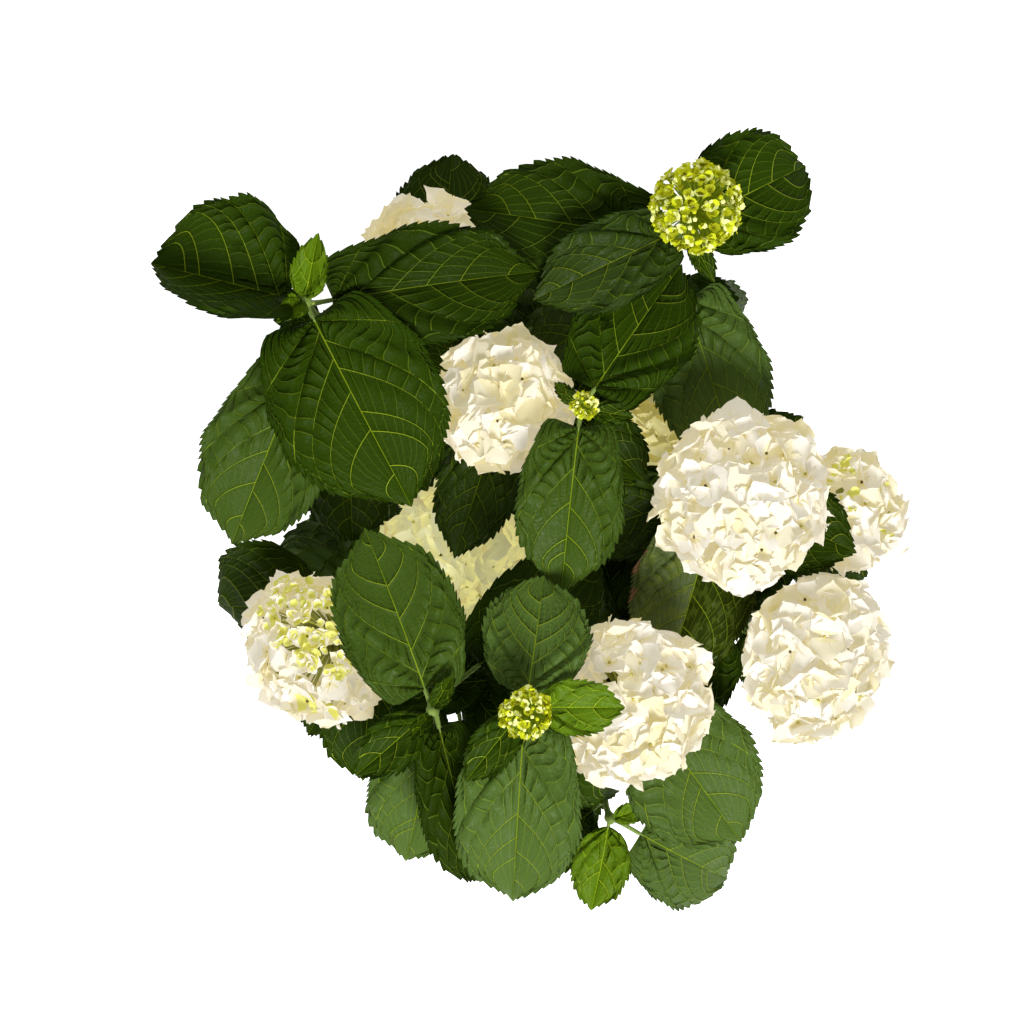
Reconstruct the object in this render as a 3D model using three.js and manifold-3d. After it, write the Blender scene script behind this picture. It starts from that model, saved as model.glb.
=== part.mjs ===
// A mophead hydrangea shrub, rooted in level ground, in millimetres with +Z up.
// The origin is the middle of the flat cut under the stool, at ground level.
// A short woody stool forks into old boughs, each bough's knuckle carries three green canes, each
// cane carries one mass of opposite leaves, and most masses carry one flower head on its own stalk.
// Neighbouring solids keep a small gap, and every solid is one closed body.
import * as THREE from 'three';
import { mergeVertices } from 'three/addons/utils/BufferGeometryUtils.js';
import Module from 'manifold-3d';

const wasm = await Module();
wasm.setup();

// ---------------------------------------------------------------- driving dimensions
const GAP = 0.3; // clear space between two solids that meet end to end
const CLEARANCE = 0.7; // least space kept round a leaf, on each side

const TRUNK = {
  footRadius: 24, // at the root flare
  waistRadius: 14, // at the narrowest place
  knuckleRadius: 18, // at the fork
  height: 46, // from the ground to the middle of the knuckle
  lean: new THREE.Vector2(3, -2), // how far the fork stands from the foot, in plan
  flareShare: 0.7, // how much of its length the root flare takes
  rootLobes: 5,
  rootLobeDepth: 3.5,
};
const BOUGH = {
  footRadius: 7.5,
  tipRadius: 5.5,
  knuckleRadius: 9,
  height: 118, // of its knuckle's middle
  reach: 0.42, // how far out its knuckle stands, over the mean distance of the tips it carries
  bendOut: 0.6, // where it bends, over its own reach
  bendUp: 0.4, // the same, over its own climb
};
const KNUCKLE_FACET = 6.2; // length of one side of a knuckle
const CANE = { footRadius: 3.6, tipRadius: 2.9 };
const STEM = { tipRadius: 1.9 }; // it starts as thick as the cane's tip
const STALK = { halfWidth: 1.6, halfThickness: 1.5, extraRise: 12, depth: 4 };
const LEAF_THICKNESS = 1.4;
const HEAD = {
  squash: 0.74, // height over width
  relief: 0.08, // depth of the grooves between florets, over the head's radius
  neck: 8, // length of stalk under a head, besides the share below
  neckPerRadius: 0.28,
  fullRadius: 30, // from this radius on a head is in full flower
  budRadius: 20, // up to this radius a head is a bud
};
const MASS = { start: 0.4, lowestLeaf: 0.43 }; // places on a shoot's curve
const SEAT = { spread: 78, middleRise: 66, sideRise: 34 }; // how the shoots sit round a knuckle
const SHOOT_BEND = { leave: 0.22, straight: 0.42 }; // over the shoot's climb

// Where the leaf blade is cut across, from its base at 0 to its tip at 1. The first place is the
// root of its stalk, in the middle of the stem.
const STALK_ROOT = -1;
const BLADE_CUTS = [0, 0.14, 0.42, 0.74, 1];
const SMALL_LEAF = 46; // a blade no longer than this has fewer cuts
const SMALL_BLADE_CUTS = [0, 0.4, 1];

// Each leaf first tries its own place. Where that isn't clear it is turned and pitched by these.
const TRY_TURNS = [0, 8, -8, 16, -16, 27, -27];
const TRY_RISES = [0, -5, 5, -10, 10, -16, -22, -28];

// The lower leaf pairs, which no table lists. Each pair is turned a right angle from the one above.
const LOWER = {
  pairs: 3,
  firstBelow: 62, // under the top of the mass's stem
  step: 34,
  length: 104,
  width: 66,
  stalk: 26,
  rise: 2,
  risePerPair: -9,
  droop: 38,
  fold: 8,
  reach: 188, // from the crown's axis to the tip of any lower leaf
};
const CROWN_AXIS = new THREE.Vector2(6, -6);

const COLOURS = {
  oldWood: '#6b5640',
  cane: '#7c8a4e',
  leaf: '#1f4a1c',
  white: '#f2efe2',
  green: '#a9bf3c',
};

// One leaf: how far below the top of the stem its stalk leaves it, its heading in plan
// (0 is +X, 90 is +Y), the lengths of its stalk and blade, its width, how steeply the blade starts,
// how far it arches down, how far its halves fold up, and how far it is rolled.
function leaf(below, heading, stalk, length, width, rise, droop, fold = 9, roll = 0) {
  return { below, heading, stalk, length, width, rise, droop, fold, roll };
}

// One shoot: its bough, the place of its tip or of its head's middle, its lean away from upright,
// its head's radius (0 for none), the turn of its lower pairs, and the leaves near its top.
const SHOOTS = [
  {
    name: 'northwest', bough: 'northwest', tip: [-123, 125, 430], lean: 14, head: 0, turn: 100,
    leaves: [
      leaf(2, -63, 12, 126, 104, 6, 22, 6),
      leaf(8, 9, 16, 128, 74, 13, 30, 14),
      leaf(6, 166, 12, 84, 104, 16, 26, 36, 30),
      leaf(46, -113, 34, 122, 78, -6, 30),
      leaf(1, 75, 4, 42, 26, 38, 20, 34),
      leaf(1, 215, 4, 30, 18, 50, 20, 34),
    ],
  },
  {
    name: 'northeast', bough: 'northeast', tip: [108, 179, 436], lean: 10, head: 26, turn: 60,
    leaves: [
      leaf(1, 26, 8, 82, 74, 20, 66, 8),
      leaf(5, 206, 10, 92, 54, 10, 26, 7),
      leaf(0, -64, 3, 36, 14, 0, 20),
      leaf(30, 171, 22, 112, 76, 8, 34, 10),
      leaf(48, -71, 30, 112, 74, -2, 30),
    ],
  },
  {
    name: 'east', bough: 'east', tip: [139, 8, 385], lean: 6, head: 56, turn: 10,
    leaves: [
      leaf(2, -22, 14, 82, 62, 13, 26),
      leaf(4, -104, 16, 108, 78, 3, 28),
      leaf(12, 42, 12, 64, 48, 4, 25),
      leaf(24, -162, 14, 78, 54, -4, 24),
    ],
  },
  {
    name: 'south', bough: 'south', tip: [9, -118, 438], lean: 4, head: 15, turn: 45,
    leaves: [
      leaf(1, 0, 6, 54, 34, 9, 26),
      leaf(4, 81, 8, 74, 66, 8, 28, 12),
      leaf(2, -130, 6, 52, 28, 8, 24, 14),
      leaf(8, -94, 12, 122, 78, 8, 40, 10),
    ],
  },
  {
    name: 'inner_southwest', bough: 'southwest', tip: [-48, -119, 408], lean: 6, head: 0, turn: 10,
    leaves: [
      leaf(5, 109, 14, 104, 70, 9, 24, 8),
      leaf(14, -138, 8, 56, 34, 12, 30, 16),
      leaf(16, -76, 14, 108, 54, 0, 34, 28),
      leaf(44, -101, 16, 100, 66, -8, 32),
      leaf(0, 60, 3, 26, 14, 30, 20, 30),
      leaf(0, -125, 3, 22, 12, 40, 20, 30),
    ],
  },
  {
    name: 'inner_northeast', bough: 'northeast', tip: [43, 63, 416], lean: 4, head: 8.5, turn: 0,
    leaves: [
      leaf(3, 56, 14, 100, 74, 3, 22, 9),
      leaf(5, -97, 12, 104, 66, 6, 34, 10),
      leaf(0, 138, 3, 20, 10, 15, 20),
      leaf(0, -11, 4, 28, 14, 12, 20),
      leaf(48, -44, 8, 56, 42, 0, 28),
    ],
  },
  {
    name: 'inner_southeast', bough: 'south', tip: [71, -116, 360], lean: 8, head: 53, turn: 40,
    leaves: [
      leaf(2, -53, 22, 118, 88, 1, 32),
      leaf(5, 128, 14, 86, 60, -2, 24),
    ],
  },
  {
    name: 'inner_north', bough: 'northwest', tip: [-6, 68, 366], lean: 3, head: 45, turn: 0,
    leaves: [
      leaf(2, -109, 16, 88, 52, 15, 24),
      leaf(2, 47, 10, 70, 56, 4, 25),
      leaf(20, 152, 10, 64, 48, 0, 24),
    ],
  },
  {
    name: 'southeast', bough: 'east', tip: [190, -90, 326], lean: 46, head: 55, turn: 70,
    leaves: [
      leaf(3, 76, 10, 66, 52, 4, 25),
      leaf(8, -127, 10, 76, 56, -4, 24),
      leaf(12, -40, 12, 78, 58, -12, 36),
    ],
  },
  {
    name: 'southwest', bough: 'southwest', tip: [-123, -86, 322], lean: 44, head: 52, turn: 20,
    leaves: [
      leaf(4, 152, 42, 70, 84, 20, 110, -4),
      leaf(20, 96, 16, 88, 60, 2, 26),
      leaf(6, -95, 22, 94, 66, -2, 28),
      leaf(14, -120, 26, 76, 44, -6, 26),
    ],
  },
  {
    name: 'north', bough: 'northwest', tip: [-49, 152, 345], lean: 16, head: 48, turn: 0,
    leaves: [
      leaf(4, 88, 14, 92, 70, 0, 36),
      leaf(8, -70, 14, 84, 56, -4, 26),
    ],
  },
  {
    name: 'outer_east', bough: 'east', tip: [213, 0, 300], lean: 30, head: 41, turn: 50,
    leaves: [
      leaf(4, 112, 12, 62, 50, -4, 34),
      leaf(6, -48, 12, 70, 50, -8, 34),
    ],
  },
  {
    name: 'outer_south', bough: 'south', tip: [63, -197, 282], lean: 20, head: 0, turn: 60,
    leaves: [
      leaf(4, -31, 24, 92, 66, 0, 32),
      leaf(2, -100, 6, 56, 38, 10, 30, 14),
      leaf(4, -133, 8, 44, 26, 2, 24),
      leaf(22, -139, 10, 66, 42, -6, 26),
      leaf(0, 20, 3, 26, 15, 26, 30, 24),
    ],
  },
  {
    name: 'middle', bough: 'southwest', tip: [-38, -28, 278], lean: 2, head: 49, turn: 0,
    leaves: [
      leaf(2, -83, 12, 80, 48, 0, 26),
      leaf(5, 0, 10, 64, 46, 0, 24),
    ],
  },
  {
    name: 'low_northeast', bough: 'northeast', tip: [89, 60, 268], lean: 12, head: 34, turn: 15,
    leaves: [leaf(4, -30, 12, 70, 48, -4, 24)],
  },
];

// ---------------------------------------------------------------- small helpers
const OVATE = { rise: 0.62, fall: 0.78 }; // how the blade's outline swells and narrows
const UP = new THREE.Vector3(0, 0, 1);
const EAST = new THREE.Vector3(1, 0, 0);
const lerp = THREE.MathUtils.lerp;
const radians = THREE.MathUtils.degToRad;

// A number from -1 to 1 that depends only on its seed.
function jitter(seed) {
  const value = Math.sin(seed * 12.9898) * 43758.5453;
  return 2 * (value - Math.floor(value)) - 1;
}

// Moves every point of a geometry to the place that a function gives it.
function shape(geometry, place) {
  const points = geometry.attributes.position;
  for (let i = 0; i < points.count; i += 1) {
    const moved = place(points.getX(i), points.getY(i), points.getZ(i));
    points.setXYZ(i, moved.x, moved.y, moved.z);
  }
  return geometry;
}

function toSolid(geometry) {
  const bare = geometry.clone();
  bare.deleteAttribute('normal');
  bare.deleteAttribute('uv');
  const merged = mergeVertices(bare);
  return new wasm.Manifold(
    new wasm.Mesh({
      numProp: 3,
      vertProperties: Float32Array.from(merged.attributes.position.array),
      triVerts: Uint32Array.from(merged.index.array),
    }),
  );
}

function toMesh(name, solid, colour, roughness) {
  const { vertProperties, triVerts } = solid.getMesh();
  const geometry = new THREE.BufferGeometry();
  geometry.setAttribute('position', new THREE.BufferAttribute(vertProperties, 3));
  geometry.setIndex(new THREE.BufferAttribute(triVerts, 1));
  geometry.computeVertexNormals();
  const material = new THREE.MeshStandardMaterial({ color: colour, roughness, metalness: 0 });
  const mesh = new THREE.Mesh(geometry, material);
  mesh.name = name;
  return mesh;
}

// ---------------------------------------------------------------- limbs
// A round limb along a curve. It is cut across at the given parameters of the curve, its ends
// stand back by the given distances, and functions of the share of its cuts give its radius.
function limb(curve, cuts, radiusAt, { sides = 5, back = [0, 0], lobeAt = () => 0 }) {
  const last = cuts.length - 1;
  const geometry = new THREE.CylinderGeometry(1, 1, 1, sides, last);
  shape(geometry, (x, y, z) => {
    const cut = Math.round((y + 0.5) * last);
    const tangent = curve.getTangent(cuts[cut]);
    const side = new THREE.Vector3().crossVectors(tangent, EAST).normalize();
    const across = new THREE.Vector3().crossVectors(tangent, side);
    const place = curve.getPoint(cuts[cut]);
    const angle = Math.atan2(z, x);
    const isMiddle = Math.hypot(x, z) < 0.5;
    const radius = isMiddle ? 0 : radiusAt(cut / last) + lobeAt(cut / last, angle);
    place.addScaledVector(side, radius * Math.cos(angle));
    place.addScaledVector(across, -radius * Math.sin(angle));
    if (cut === 0) place.addScaledVector(tangent, back[0]);
    if (cut === last) place.addScaledVector(tangent, -back[1]);
    return place;
  });
  return toSolid(geometry);
}

// Evenly spaced cuts between two parameters.
function evenCuts(from, to, count) {
  return Array.from({ length: count + 1 }, (_, i) => lerp(from, to, i / count));
}

const fork = new THREE.Vector3(TRUNK.lean.x, TRUNK.lean.y, TRUNK.height);

// The round knuckle in which an old limb ends, with facets short enough to seat what it carries.
function knuckleSolid(radius, middle) {
  const sides = Math.round((2 * Math.PI * radius) / KNUCKLE_FACET);
  return toSolid(new THREE.SphereGeometry(radius, sides, Math.round(sides * 0.6)).translate(...middle));
}

function trunkSolid() {
  const start = new THREE.Vector3(0, 0, -TRUNK.height / 4);
  const upright = new THREE.Vector3(0, 0, TRUNK.height / 2);
  const path = new THREE.QuadraticBezierCurve3(start, upright, fork);
  const flareAt = (share) => Math.max(0, 1 - share / TRUNK.flareShare) ** 2;
  const radiusAt = (share) => lerp(TRUNK.waistRadius, TRUNK.footRadius, flareAt(share));
  const lobeAt = (share, angle) => flareAt(share) * TRUNK.rootLobeDepth * Math.cos(TRUNK.rootLobes * angle);
  const wood = limb(path, evenCuts(0, 1, 7), radiusAt, { sides: 15, lobeAt });
  const below = new THREE.BoxGeometry(5 * TRUNK.footRadius, 5 * TRUNK.footRadius, TRUNK.height);
  below.translate(0, 0, -TRUNK.height / 2);
  return wood.subtract(toSolid(below)).add(knuckleSolid(TRUNK.knuckleRadius, fork));
}

const boughNames = [...new Set(SHOOTS.map((shoot) => shoot.bough))];

// A bough's knuckle stands part of the way out to the middle of the shoots that it carries.
function boughKnuckle(name) {
  const carried = SHOOTS.filter((shoot) => shoot.bough === name);
  const middle = new THREE.Vector3();
  for (const shoot of carried) {
    middle.add(new THREE.Vector3(shoot.tip[0], shoot.tip[1], 0).divideScalar(carried.length));
  }
  return middle.multiplyScalar(BOUGH.reach).setZ(BOUGH.height);
}

function boughCurve(name) {
  const knuckle = boughKnuckle(name);
  const outward = knuckle.clone().sub(fork).setZ(0);
  const bend = fork.clone().addScaledVector(outward, BOUGH.bendOut);
  bend.z = lerp(fork.z, knuckle.z, BOUGH.bendUp);
  const seat = bend.clone().sub(fork).setLength(TRUNK.knuckleRadius + GAP).add(fork);
  return new THREE.QuadraticBezierCurve3(seat, bend, knuckle);
}

function boughSolid(name) {
  const radiusAt = (share) => lerp(BOUGH.footRadius, BOUGH.tipRadius, share);
  const wood = limb(boughCurve(name), evenCuts(0, 1, 4), radiusAt, { sides: 7 });
  return wood.add(knuckleSolid(BOUGH.knuckleRadius, boughKnuckle(name)));
}

function planHeading(from, to) {
  return Math.atan2(to.y - from.y, to.x - from.x);
}

// The turn from one heading to another, from -PI to PI.
function turnBetween(from, to) {
  return Math.atan2(Math.sin(to - from), Math.cos(to - from));
}

// Where a shoot leaves its knuckle. The shoots of one bough sit side by side round it, in the order
// of their headings, with the middle one steepest.
function seatDirection(shoot) {
  const knuckle = boughKnuckle(shoot.bough);
  const boughHeading = planHeading(fork, knuckle);
  const turnOf = (one) => turnBetween(boughHeading, planHeading(knuckle, new THREE.Vector3(...one.tip)));
  const turns = SHOOTS.filter((one) => one.bough === shoot.bough).map(turnOf);
  const rank = turns.filter((turn) => turn < turnOf(shoot)).length - 1;
  const heading = boughHeading + rank * radians(SEAT.spread);
  const rise = radians(rank === 0 ? SEAT.middleRise : SEAT.sideRise);
  return new THREE.Vector3(
    Math.cos(heading) * Math.cos(rise),
    Math.sin(heading) * Math.cos(rise),
    Math.sin(rise),
  );
}

// A shoot's curve leaves its bough's knuckle at its seat, then turns up and ends straight.
function shootCurve(shoot) {
  const knuckle = boughKnuckle(shoot.bough);
  const tip = new THREE.Vector3(...shoot.tip);
  const climb = tip.z - knuckle.z;
  const outward = new THREE.Vector3(tip.x, tip.y, 0).normalize();
  const axis = UP.clone().multiplyScalar(Math.cos(radians(shoot.lean)));
  axis.addScaledVector(outward, Math.sin(radians(shoot.lean)));
  const seat = seatDirection(shoot);
  const start = knuckle.clone().addScaledVector(seat, BOUGH.knuckleRadius + GAP);
  const first = start.clone().addScaledVector(seat, SHOOT_BEND.leave * climb);
  const last = tip.clone().addScaledVector(axis, -SHOOT_BEND.straight * climb);
  return new THREE.CubicBezierCurve3(start, first, last, tip);
}

// How far the head's middle stands above the top of the leafy stem.
function neckLength(shoot) {
  return shoot.head > 0 ? shoot.head * (HEAD.squash + HEAD.neckPerRadius) + HEAD.neck : 0;
}

// The curve's parameter at a distance before its straight end.
function beforeTip(shoot, distance) {
  const climb = shoot.tip[2] - BOUGH.height;
  return 1 - distance / (3 * SHOOT_BEND.straight * climb);
}

function caneSolid(shoot) {
  const radiusAt = (share) => lerp(CANE.footRadius, CANE.tipRadius, share);
  return limb(shootCurve(shoot), evenCuts(0, MASS.start, 4), radiusAt, { back: [0, GAP / 2] });
}

function stemSolid(shoot) {
  const top = beforeTip(shoot, neckLength(shoot));
  const back = [GAP / 2, shoot.head > 0 ? GAP / 2 : 0];
  const radiusAt = (share) => lerp(CANE.tipRadius, STEM.tipRadius, share);
  return limb(shootCurve(shoot), evenCuts(MASS.start, top, 4), radiusAt, { back });
}

// ---------------------------------------------------------------- flower heads
// A head's solid is a domed ball whose surface swells at each of its florets, fused to its stalk.
function floretDirections(count) {
  const turn = Math.PI * (3 - Math.sqrt(5));
  return Array.from({ length: count }, (_, i) => {
    const height = 1 - (2 * (i + 0.5)) / count;
    const ring = Math.sqrt(1 - height * height);
    return new THREE.Vector3(ring * Math.cos(i * turn), ring * Math.sin(i * turn), height);
  });
}

function headSolid(shoot) {
  const curve = shootCurve(shoot);
  const axis = curve.getTangent(1);
  const middle = new THREE.Vector3(...shoot.tip);
  const isBud = shoot.head < HEAD.budRadius;
  const florets = floretDirections(isBud ? 16 : 46);
  const spacing = Math.sqrt((4 * Math.PI) / florets.length) / 2;
  const upright = new THREE.Quaternion().setFromUnitVectors(UP, axis);
  const ball = new THREE.IcosahedronGeometry(1, isBud ? 1 : 2);
  shape(ball, (x, y, z) => {
    const direction = new THREE.Vector3(x, y, z).normalize();
    const nearest = Math.min(...florets.map((floret) => floret.angleTo(direction)));
    const swell = 1 - HEAD.relief * Math.min(1, nearest / spacing);
    const place = direction.multiplyScalar(shoot.head * swell);
    place.z *= HEAD.squash;
    return place.applyQuaternion(upright).add(middle);
  });
  const from = beforeTip(shoot, neckLength(shoot));
  const radiusAt = () => STEM.tipRadius;
  const stalk = limb(curve, [from, 1], radiusAt, { back: [GAP / 2, 0] });
  return toSolid(ball).add(stalk);
}

// ---------------------------------------------------------------- leaves
// Half the width of an ovate blade with a drawn-out tip, as a share of its greatest half width.
function outline(u) {
  const { rise, fall } = OVATE;
  const widest = rise / (rise + fall);
  return (u ** rise * (1 - u) ** fall) / (widest ** rise * (1 - widest) ** fall);
}

// The middle of a leaf and its directions at a place along it, from the stalk's root to the tip.
function leafFrame(curve, root, one, u) {
  const heading = radians(one.heading);
  const out = new THREE.Vector3(Math.cos(heading), Math.sin(heading), 0);
  const onBlade = Math.max(u, 0);
  const rise = radians(one.rise);
  const droop = radians(one.droop);
  const stalkRise = radians(one.rise + STALK.extraRise);
  const pitch = u < 0 ? stalkRise : rise - droop * onBlade;
  const place = curve.getPoint(root);
  if (u > STALK_ROOT) {
    place.addScaledVector(out, one.stalk * Math.cos(stalkRise));
    place.addScaledVector(UP, one.stalk * Math.sin(stalkRise));
    place.addScaledVector(out, (one.length * (Math.sin(rise) - Math.sin(rise - droop * onBlade))) / droop);
    place.addScaledVector(UP, (one.length * (Math.cos(rise - droop * onBlade) - Math.cos(rise))) / droop);
  }
  const tangent = out.clone().multiplyScalar(Math.cos(pitch)).addScaledVector(UP, Math.sin(pitch));
  const level = new THREE.Vector3().crossVectors(UP, out);
  const normal = new THREE.Vector3().crossVectors(tangent, level);
  const roll = radians(one.roll) * (u < 0 ? 0 : 1);
  const side = level.clone().multiplyScalar(Math.cos(roll)).addScaledVector(normal, Math.sin(roll));
  const face = normal.multiplyScalar(Math.cos(roll)).addScaledVector(level, -Math.sin(roll));
  return { place, tangent, side, face };
}

// One leaf with its stalk as a solid, made larger all round by extra where room is tested. With
// bladeOnly its stalk is left off.
function leafSolid(curve, root, one, extra = 0, bladeOnly = false) {
  const blade = one.length > SMALL_LEAF ? BLADE_CUTS : SMALL_BLADE_CUTS;
  const cuts = bladeOnly ? blade : [STALK_ROOT, ...blade];
  const geometry = new THREE.BoxGeometry(2, 2, 1, 2, 1, cuts.length - 1);
  const last = cuts.length - 1;
  shape(geometry, (x, y, z) => {
    const u = cuts[Math.round((z + 0.5) * last)];
    const { place, tangent, side, face } = leafFrame(curve, root, one, u);
    const isBlade = u > 0;
    const half = isBlade && u < 1 ? (outline(u) * one.width) / 2 : 0;
    const halfWidth = Math.max(half, u < 1 ? STALK.halfWidth : STALK.halfWidth / 2) + extra;
    const thick = isBlade ? LEAF_THICKNESS / 2 : STALK.halfThickness;
    const fold = isBlade ? radians(one.fold) : 0;
    place.addScaledVector(side, x * halfWidth * Math.cos(fold));
    place.addScaledVector(face, Math.abs(x) * halfWidth * Math.sin(fold));
    place.addScaledVector(face, y * (thick + extra));
    if (u === 1) place.addScaledVector(tangent, extra);
    return place;
  });
  return toSolid(geometry);
}

// The lower leaves of a shoot, in opposite pairs by rule.
function lowerLeaves(shoot, number) {
  const made = [];
  for (let pair = 0; pair < LOWER.pairs; pair += 1) {
    for (const half of [0, 180]) {
      const seed = 100 * number + 10 * pair + half / 90 + 1;
      const size = 1 + 0.16 * jitter(seed);
      const one = leaf(
        LOWER.firstBelow + LOWER.step * (pair + 0.15 * jitter(seed + 0.1)),
        shoot.turn + 90 * pair + half + 22 * jitter(seed + 0.2),
        LOWER.stalk * size,
        LOWER.length * size,
        LOWER.width * size,
        LOWER.rise + LOWER.risePerPair * pair + 6 * jitter(seed + 0.3),
        LOWER.droop + 10 * jitter(seed + 0.4),
        LOWER.fold,
      );
      made.push({ ...one, reach: LOWER.reach });
    }
  }
  return made;
}

function boxesMeet(a, b) {
  return [0, 1, 2].every((axis) => a.min[axis] < b.max[axis] && b.min[axis] < a.max[axis]);
}

function touches(solid, others) {
  const box = solid.boundingBox();
  return others.some((other) => boxesMeet(box, other.box) && solid.intersect(other.solid).volume() > 0);
}

// ---------------------------------------------------------------- the whole shrub
const placed = []; // every solid placed so far, with its owner and its box
function occupy(owner, solid) {
  placed.push({ owner, solid, box: solid.boundingBox() });
}

const hydrangea = new THREE.Group();
const trunk = trunkSolid();
occupy('trunk', trunk);
hydrangea.add(toMesh('trunk', trunk, COLOURS.oldWood, 0.9));

for (const name of boughNames) {
  const bough = boughSolid(name);
  occupy(`bough_${name}`, bough);
  hydrangea.add(toMesh(`bough_${name}`, bough, COLOURS.oldWood, 0.9));
}

for (const shoot of SHOOTS) {
  const cane = caneSolid(shoot);
  occupy(`cane_${shoot.name}`, cane);
  hydrangea.add(toMesh(`cane_${shoot.name}`, cane, COLOURS.cane, 0.6));
  shoot.mass = stemSolid(shoot);
  occupy(`leaves_${shoot.name}`, shoot.mass);
  if (shoot.head > 0) {
    const head = headSolid(shoot);
    occupy(`head_${shoot.name}`, head);
    const colour = shoot.head < HEAD.fullRadius ? COLOURS.green : COLOURS.white;
    hydrangea.add(toMesh(`head_${shoot.name}`, head, colour, 0.7));
  }
}

// Fuses a leaf to its mass at the first place that is clear of everything, or skips it.
function growLeaf(shoot, wanted) {
  const owner = `leaves_${shoot.name}`;
  const curve = shootCurve(shoot);
  const depth = neckLength(shoot) + STALK.depth + wanted.below;
  const root = Math.max(beforeTip(shoot, depth), MASS.lowestLeaf);
  const strangers = placed.filter((other) => other.owner !== owner);
  const stem = placed.find((other) => other.owner === owner).solid;
  const siblings = placed.filter((other) => other.owner === owner && other.solid !== stem);
  for (const turn of TRY_TURNS) {
    for (const rise of TRY_RISES) {
      const one = { ...wanted, heading: wanted.heading + turn, rise: wanted.rise + rise };
      const tip = leafFrame(curve, root, one, 1).place;
      if (wanted.reach && CROWN_AXIS.distanceTo(tip) > wanted.reach) continue;
      const room = leafSolid(curve, root, one, CLEARANCE);
      if (room.boundingBox().min[2] < LEAF_THICKNESS || touches(room, strangers)) continue;
      if (touches(leafSolid(curve, root, one, CLEARANCE, true), siblings)) continue;
      const solid = leafSolid(curve, root, one);
      occupy(owner, solid);
      shoot.mass = shoot.mass.add(solid);
      return;
    }
  }
}

for (const shoot of SHOOTS) {
  for (const wanted of shoot.leaves) growLeaf(shoot, wanted);
}
SHOOTS.forEach((shoot, number) => {
  for (const wanted of lowerLeaves(shoot, number)) growLeaf(shoot, wanted);
});
for (const shoot of SHOOTS) {
  hydrangea.add(toMesh(`leaves_${shoot.name}`, shoot.mass, COLOURS.leaf, 0.5));
}

export default hydrangea;
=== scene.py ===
"""Looks of a mophead hydrangea shrub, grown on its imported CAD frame.

The shrub stands on level ground with its stool at the origin and +Z up. The growth rule works in
millimetres and degrees, and every mesh is made in metres.
"""

import math
from collections import namedtuple

import bmesh
import bpy
import numpy as np
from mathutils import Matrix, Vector, noise
from mathutils.bvhtree import BVHTree


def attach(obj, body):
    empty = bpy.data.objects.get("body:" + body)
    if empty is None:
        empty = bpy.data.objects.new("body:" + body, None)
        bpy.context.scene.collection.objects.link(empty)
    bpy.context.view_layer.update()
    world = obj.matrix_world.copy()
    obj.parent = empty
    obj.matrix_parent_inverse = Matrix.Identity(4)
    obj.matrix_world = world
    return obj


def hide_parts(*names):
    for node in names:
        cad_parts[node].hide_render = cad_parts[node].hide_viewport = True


bl_info = {
    "name": "Hydrangea Shrub",
    "version": (1, 0, 0),
    "blender": (4, 5, 0),
    "location": "View3D > Sidebar > Hydrangea",
    "description": "Grows the wood, leaves and flower heads of a mophead hydrangea on its frame",
    "category": "Object",
}

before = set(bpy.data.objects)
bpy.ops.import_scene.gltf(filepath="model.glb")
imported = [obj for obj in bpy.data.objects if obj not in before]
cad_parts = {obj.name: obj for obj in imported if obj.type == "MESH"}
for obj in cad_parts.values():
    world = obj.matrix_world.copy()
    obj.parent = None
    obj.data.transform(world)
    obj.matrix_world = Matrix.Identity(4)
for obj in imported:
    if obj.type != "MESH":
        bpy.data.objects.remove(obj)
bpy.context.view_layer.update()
MM = 0.001
UP = np.array([0.0, 0.0, 1.0])
EAST = np.array([1.0, 0.0, 0.0])

# ---------------------------------------------------------------- the growth rule's sizes
GAP = 0.3  # between a limb's foot and what bears it
TRUNK = {"foot": 24, "waist": 14, "knuckle": 18, "height": 46, "lean": (3, -2),
         "flare_share": 0.7, "lobes": 5, "lobe_depth": 3.5}
BOUGH = {"foot": 7.5, "tip": 5.5, "knuckle": 9, "height": 118, "reach": 0.42,
         "bend_out": 0.6, "bend_up": 0.4}
CANE = {"foot": 3.6, "tip": 2.9}
STEM_TIP = 1.9
STALK = {"extra_rise": 12, "depth": 4}
HEAD = {"squash": 0.74, "neck": 8, "neck_per_radius": 0.28, "full": 30}
MASS = {"start": 0.4, "lowest_leaf": 0.43}  # shares of a shoot's curve
SEAT = {"spread": 78, "middle_rise": 66, "side_rise": 34}
SHOOT_BEND = {"leave": 0.22, "straight": 0.42}
OVATE = {"rise": 0.62, "fall": 0.78}  # powers of the blades' outline
BLADE_CUTS = (0.0, 0.14, 0.42, 0.74, 1.0)  # where a packed blade has its points along the midrib
SMALL_LEAF = 46
SMALL_BLADE_CUTS = (0.0, 0.4, 1.0)
# How far a packed leaf may be turned and raised from its wanted place.
TRY_TURNS = (0, 8, -8, 16, -16, 27, -27)
TRY_RISES = (0, -5, 5, -10, 10, -16, -22, -28)
# Here and further on, a pair of numbers for one size is its middle and how far it strays.
LOWER = {"pairs": 3, "below": 62, "step": 34, "length": 104, "width": 66, "stalk": 26,
         "rise": 2, "rise_per_pair": -9, "droop": (38, 10), "fold": 8, "size": (1, 0.16),
         "step_stray": 0.15, "turn_stray": 22, "rise_stray": 6}
AXIL = {"pairs": 2, "above": 14, "length": 50, "width": 32, "stalk": 12, "rise": (16, 12),
        "droop": 30, "fold": 14, "size": (1, 0.25), "turn": (45, 20)}
SEATED = 1.3  # how near a leaf's midrib lies to the skin of its own solid

# One leaf: how far below the stem's top its stalk leaves it, its heading in plan, its stalk, length
# and width, how steeply it starts, how far it arches down, how far its halves fold up, its roll,
# and the tint of its blade.
Leaf = namedtuple("Leaf", "below heading stalk length width rise droop fold roll tint")
# A leaf in its place: its shoot, where its stalk leaves the stem, and whether it is one of the upper
# ones, whose blades are finer.
Grown = namedtuple("Grown", "shoot root leaf fine")


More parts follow.
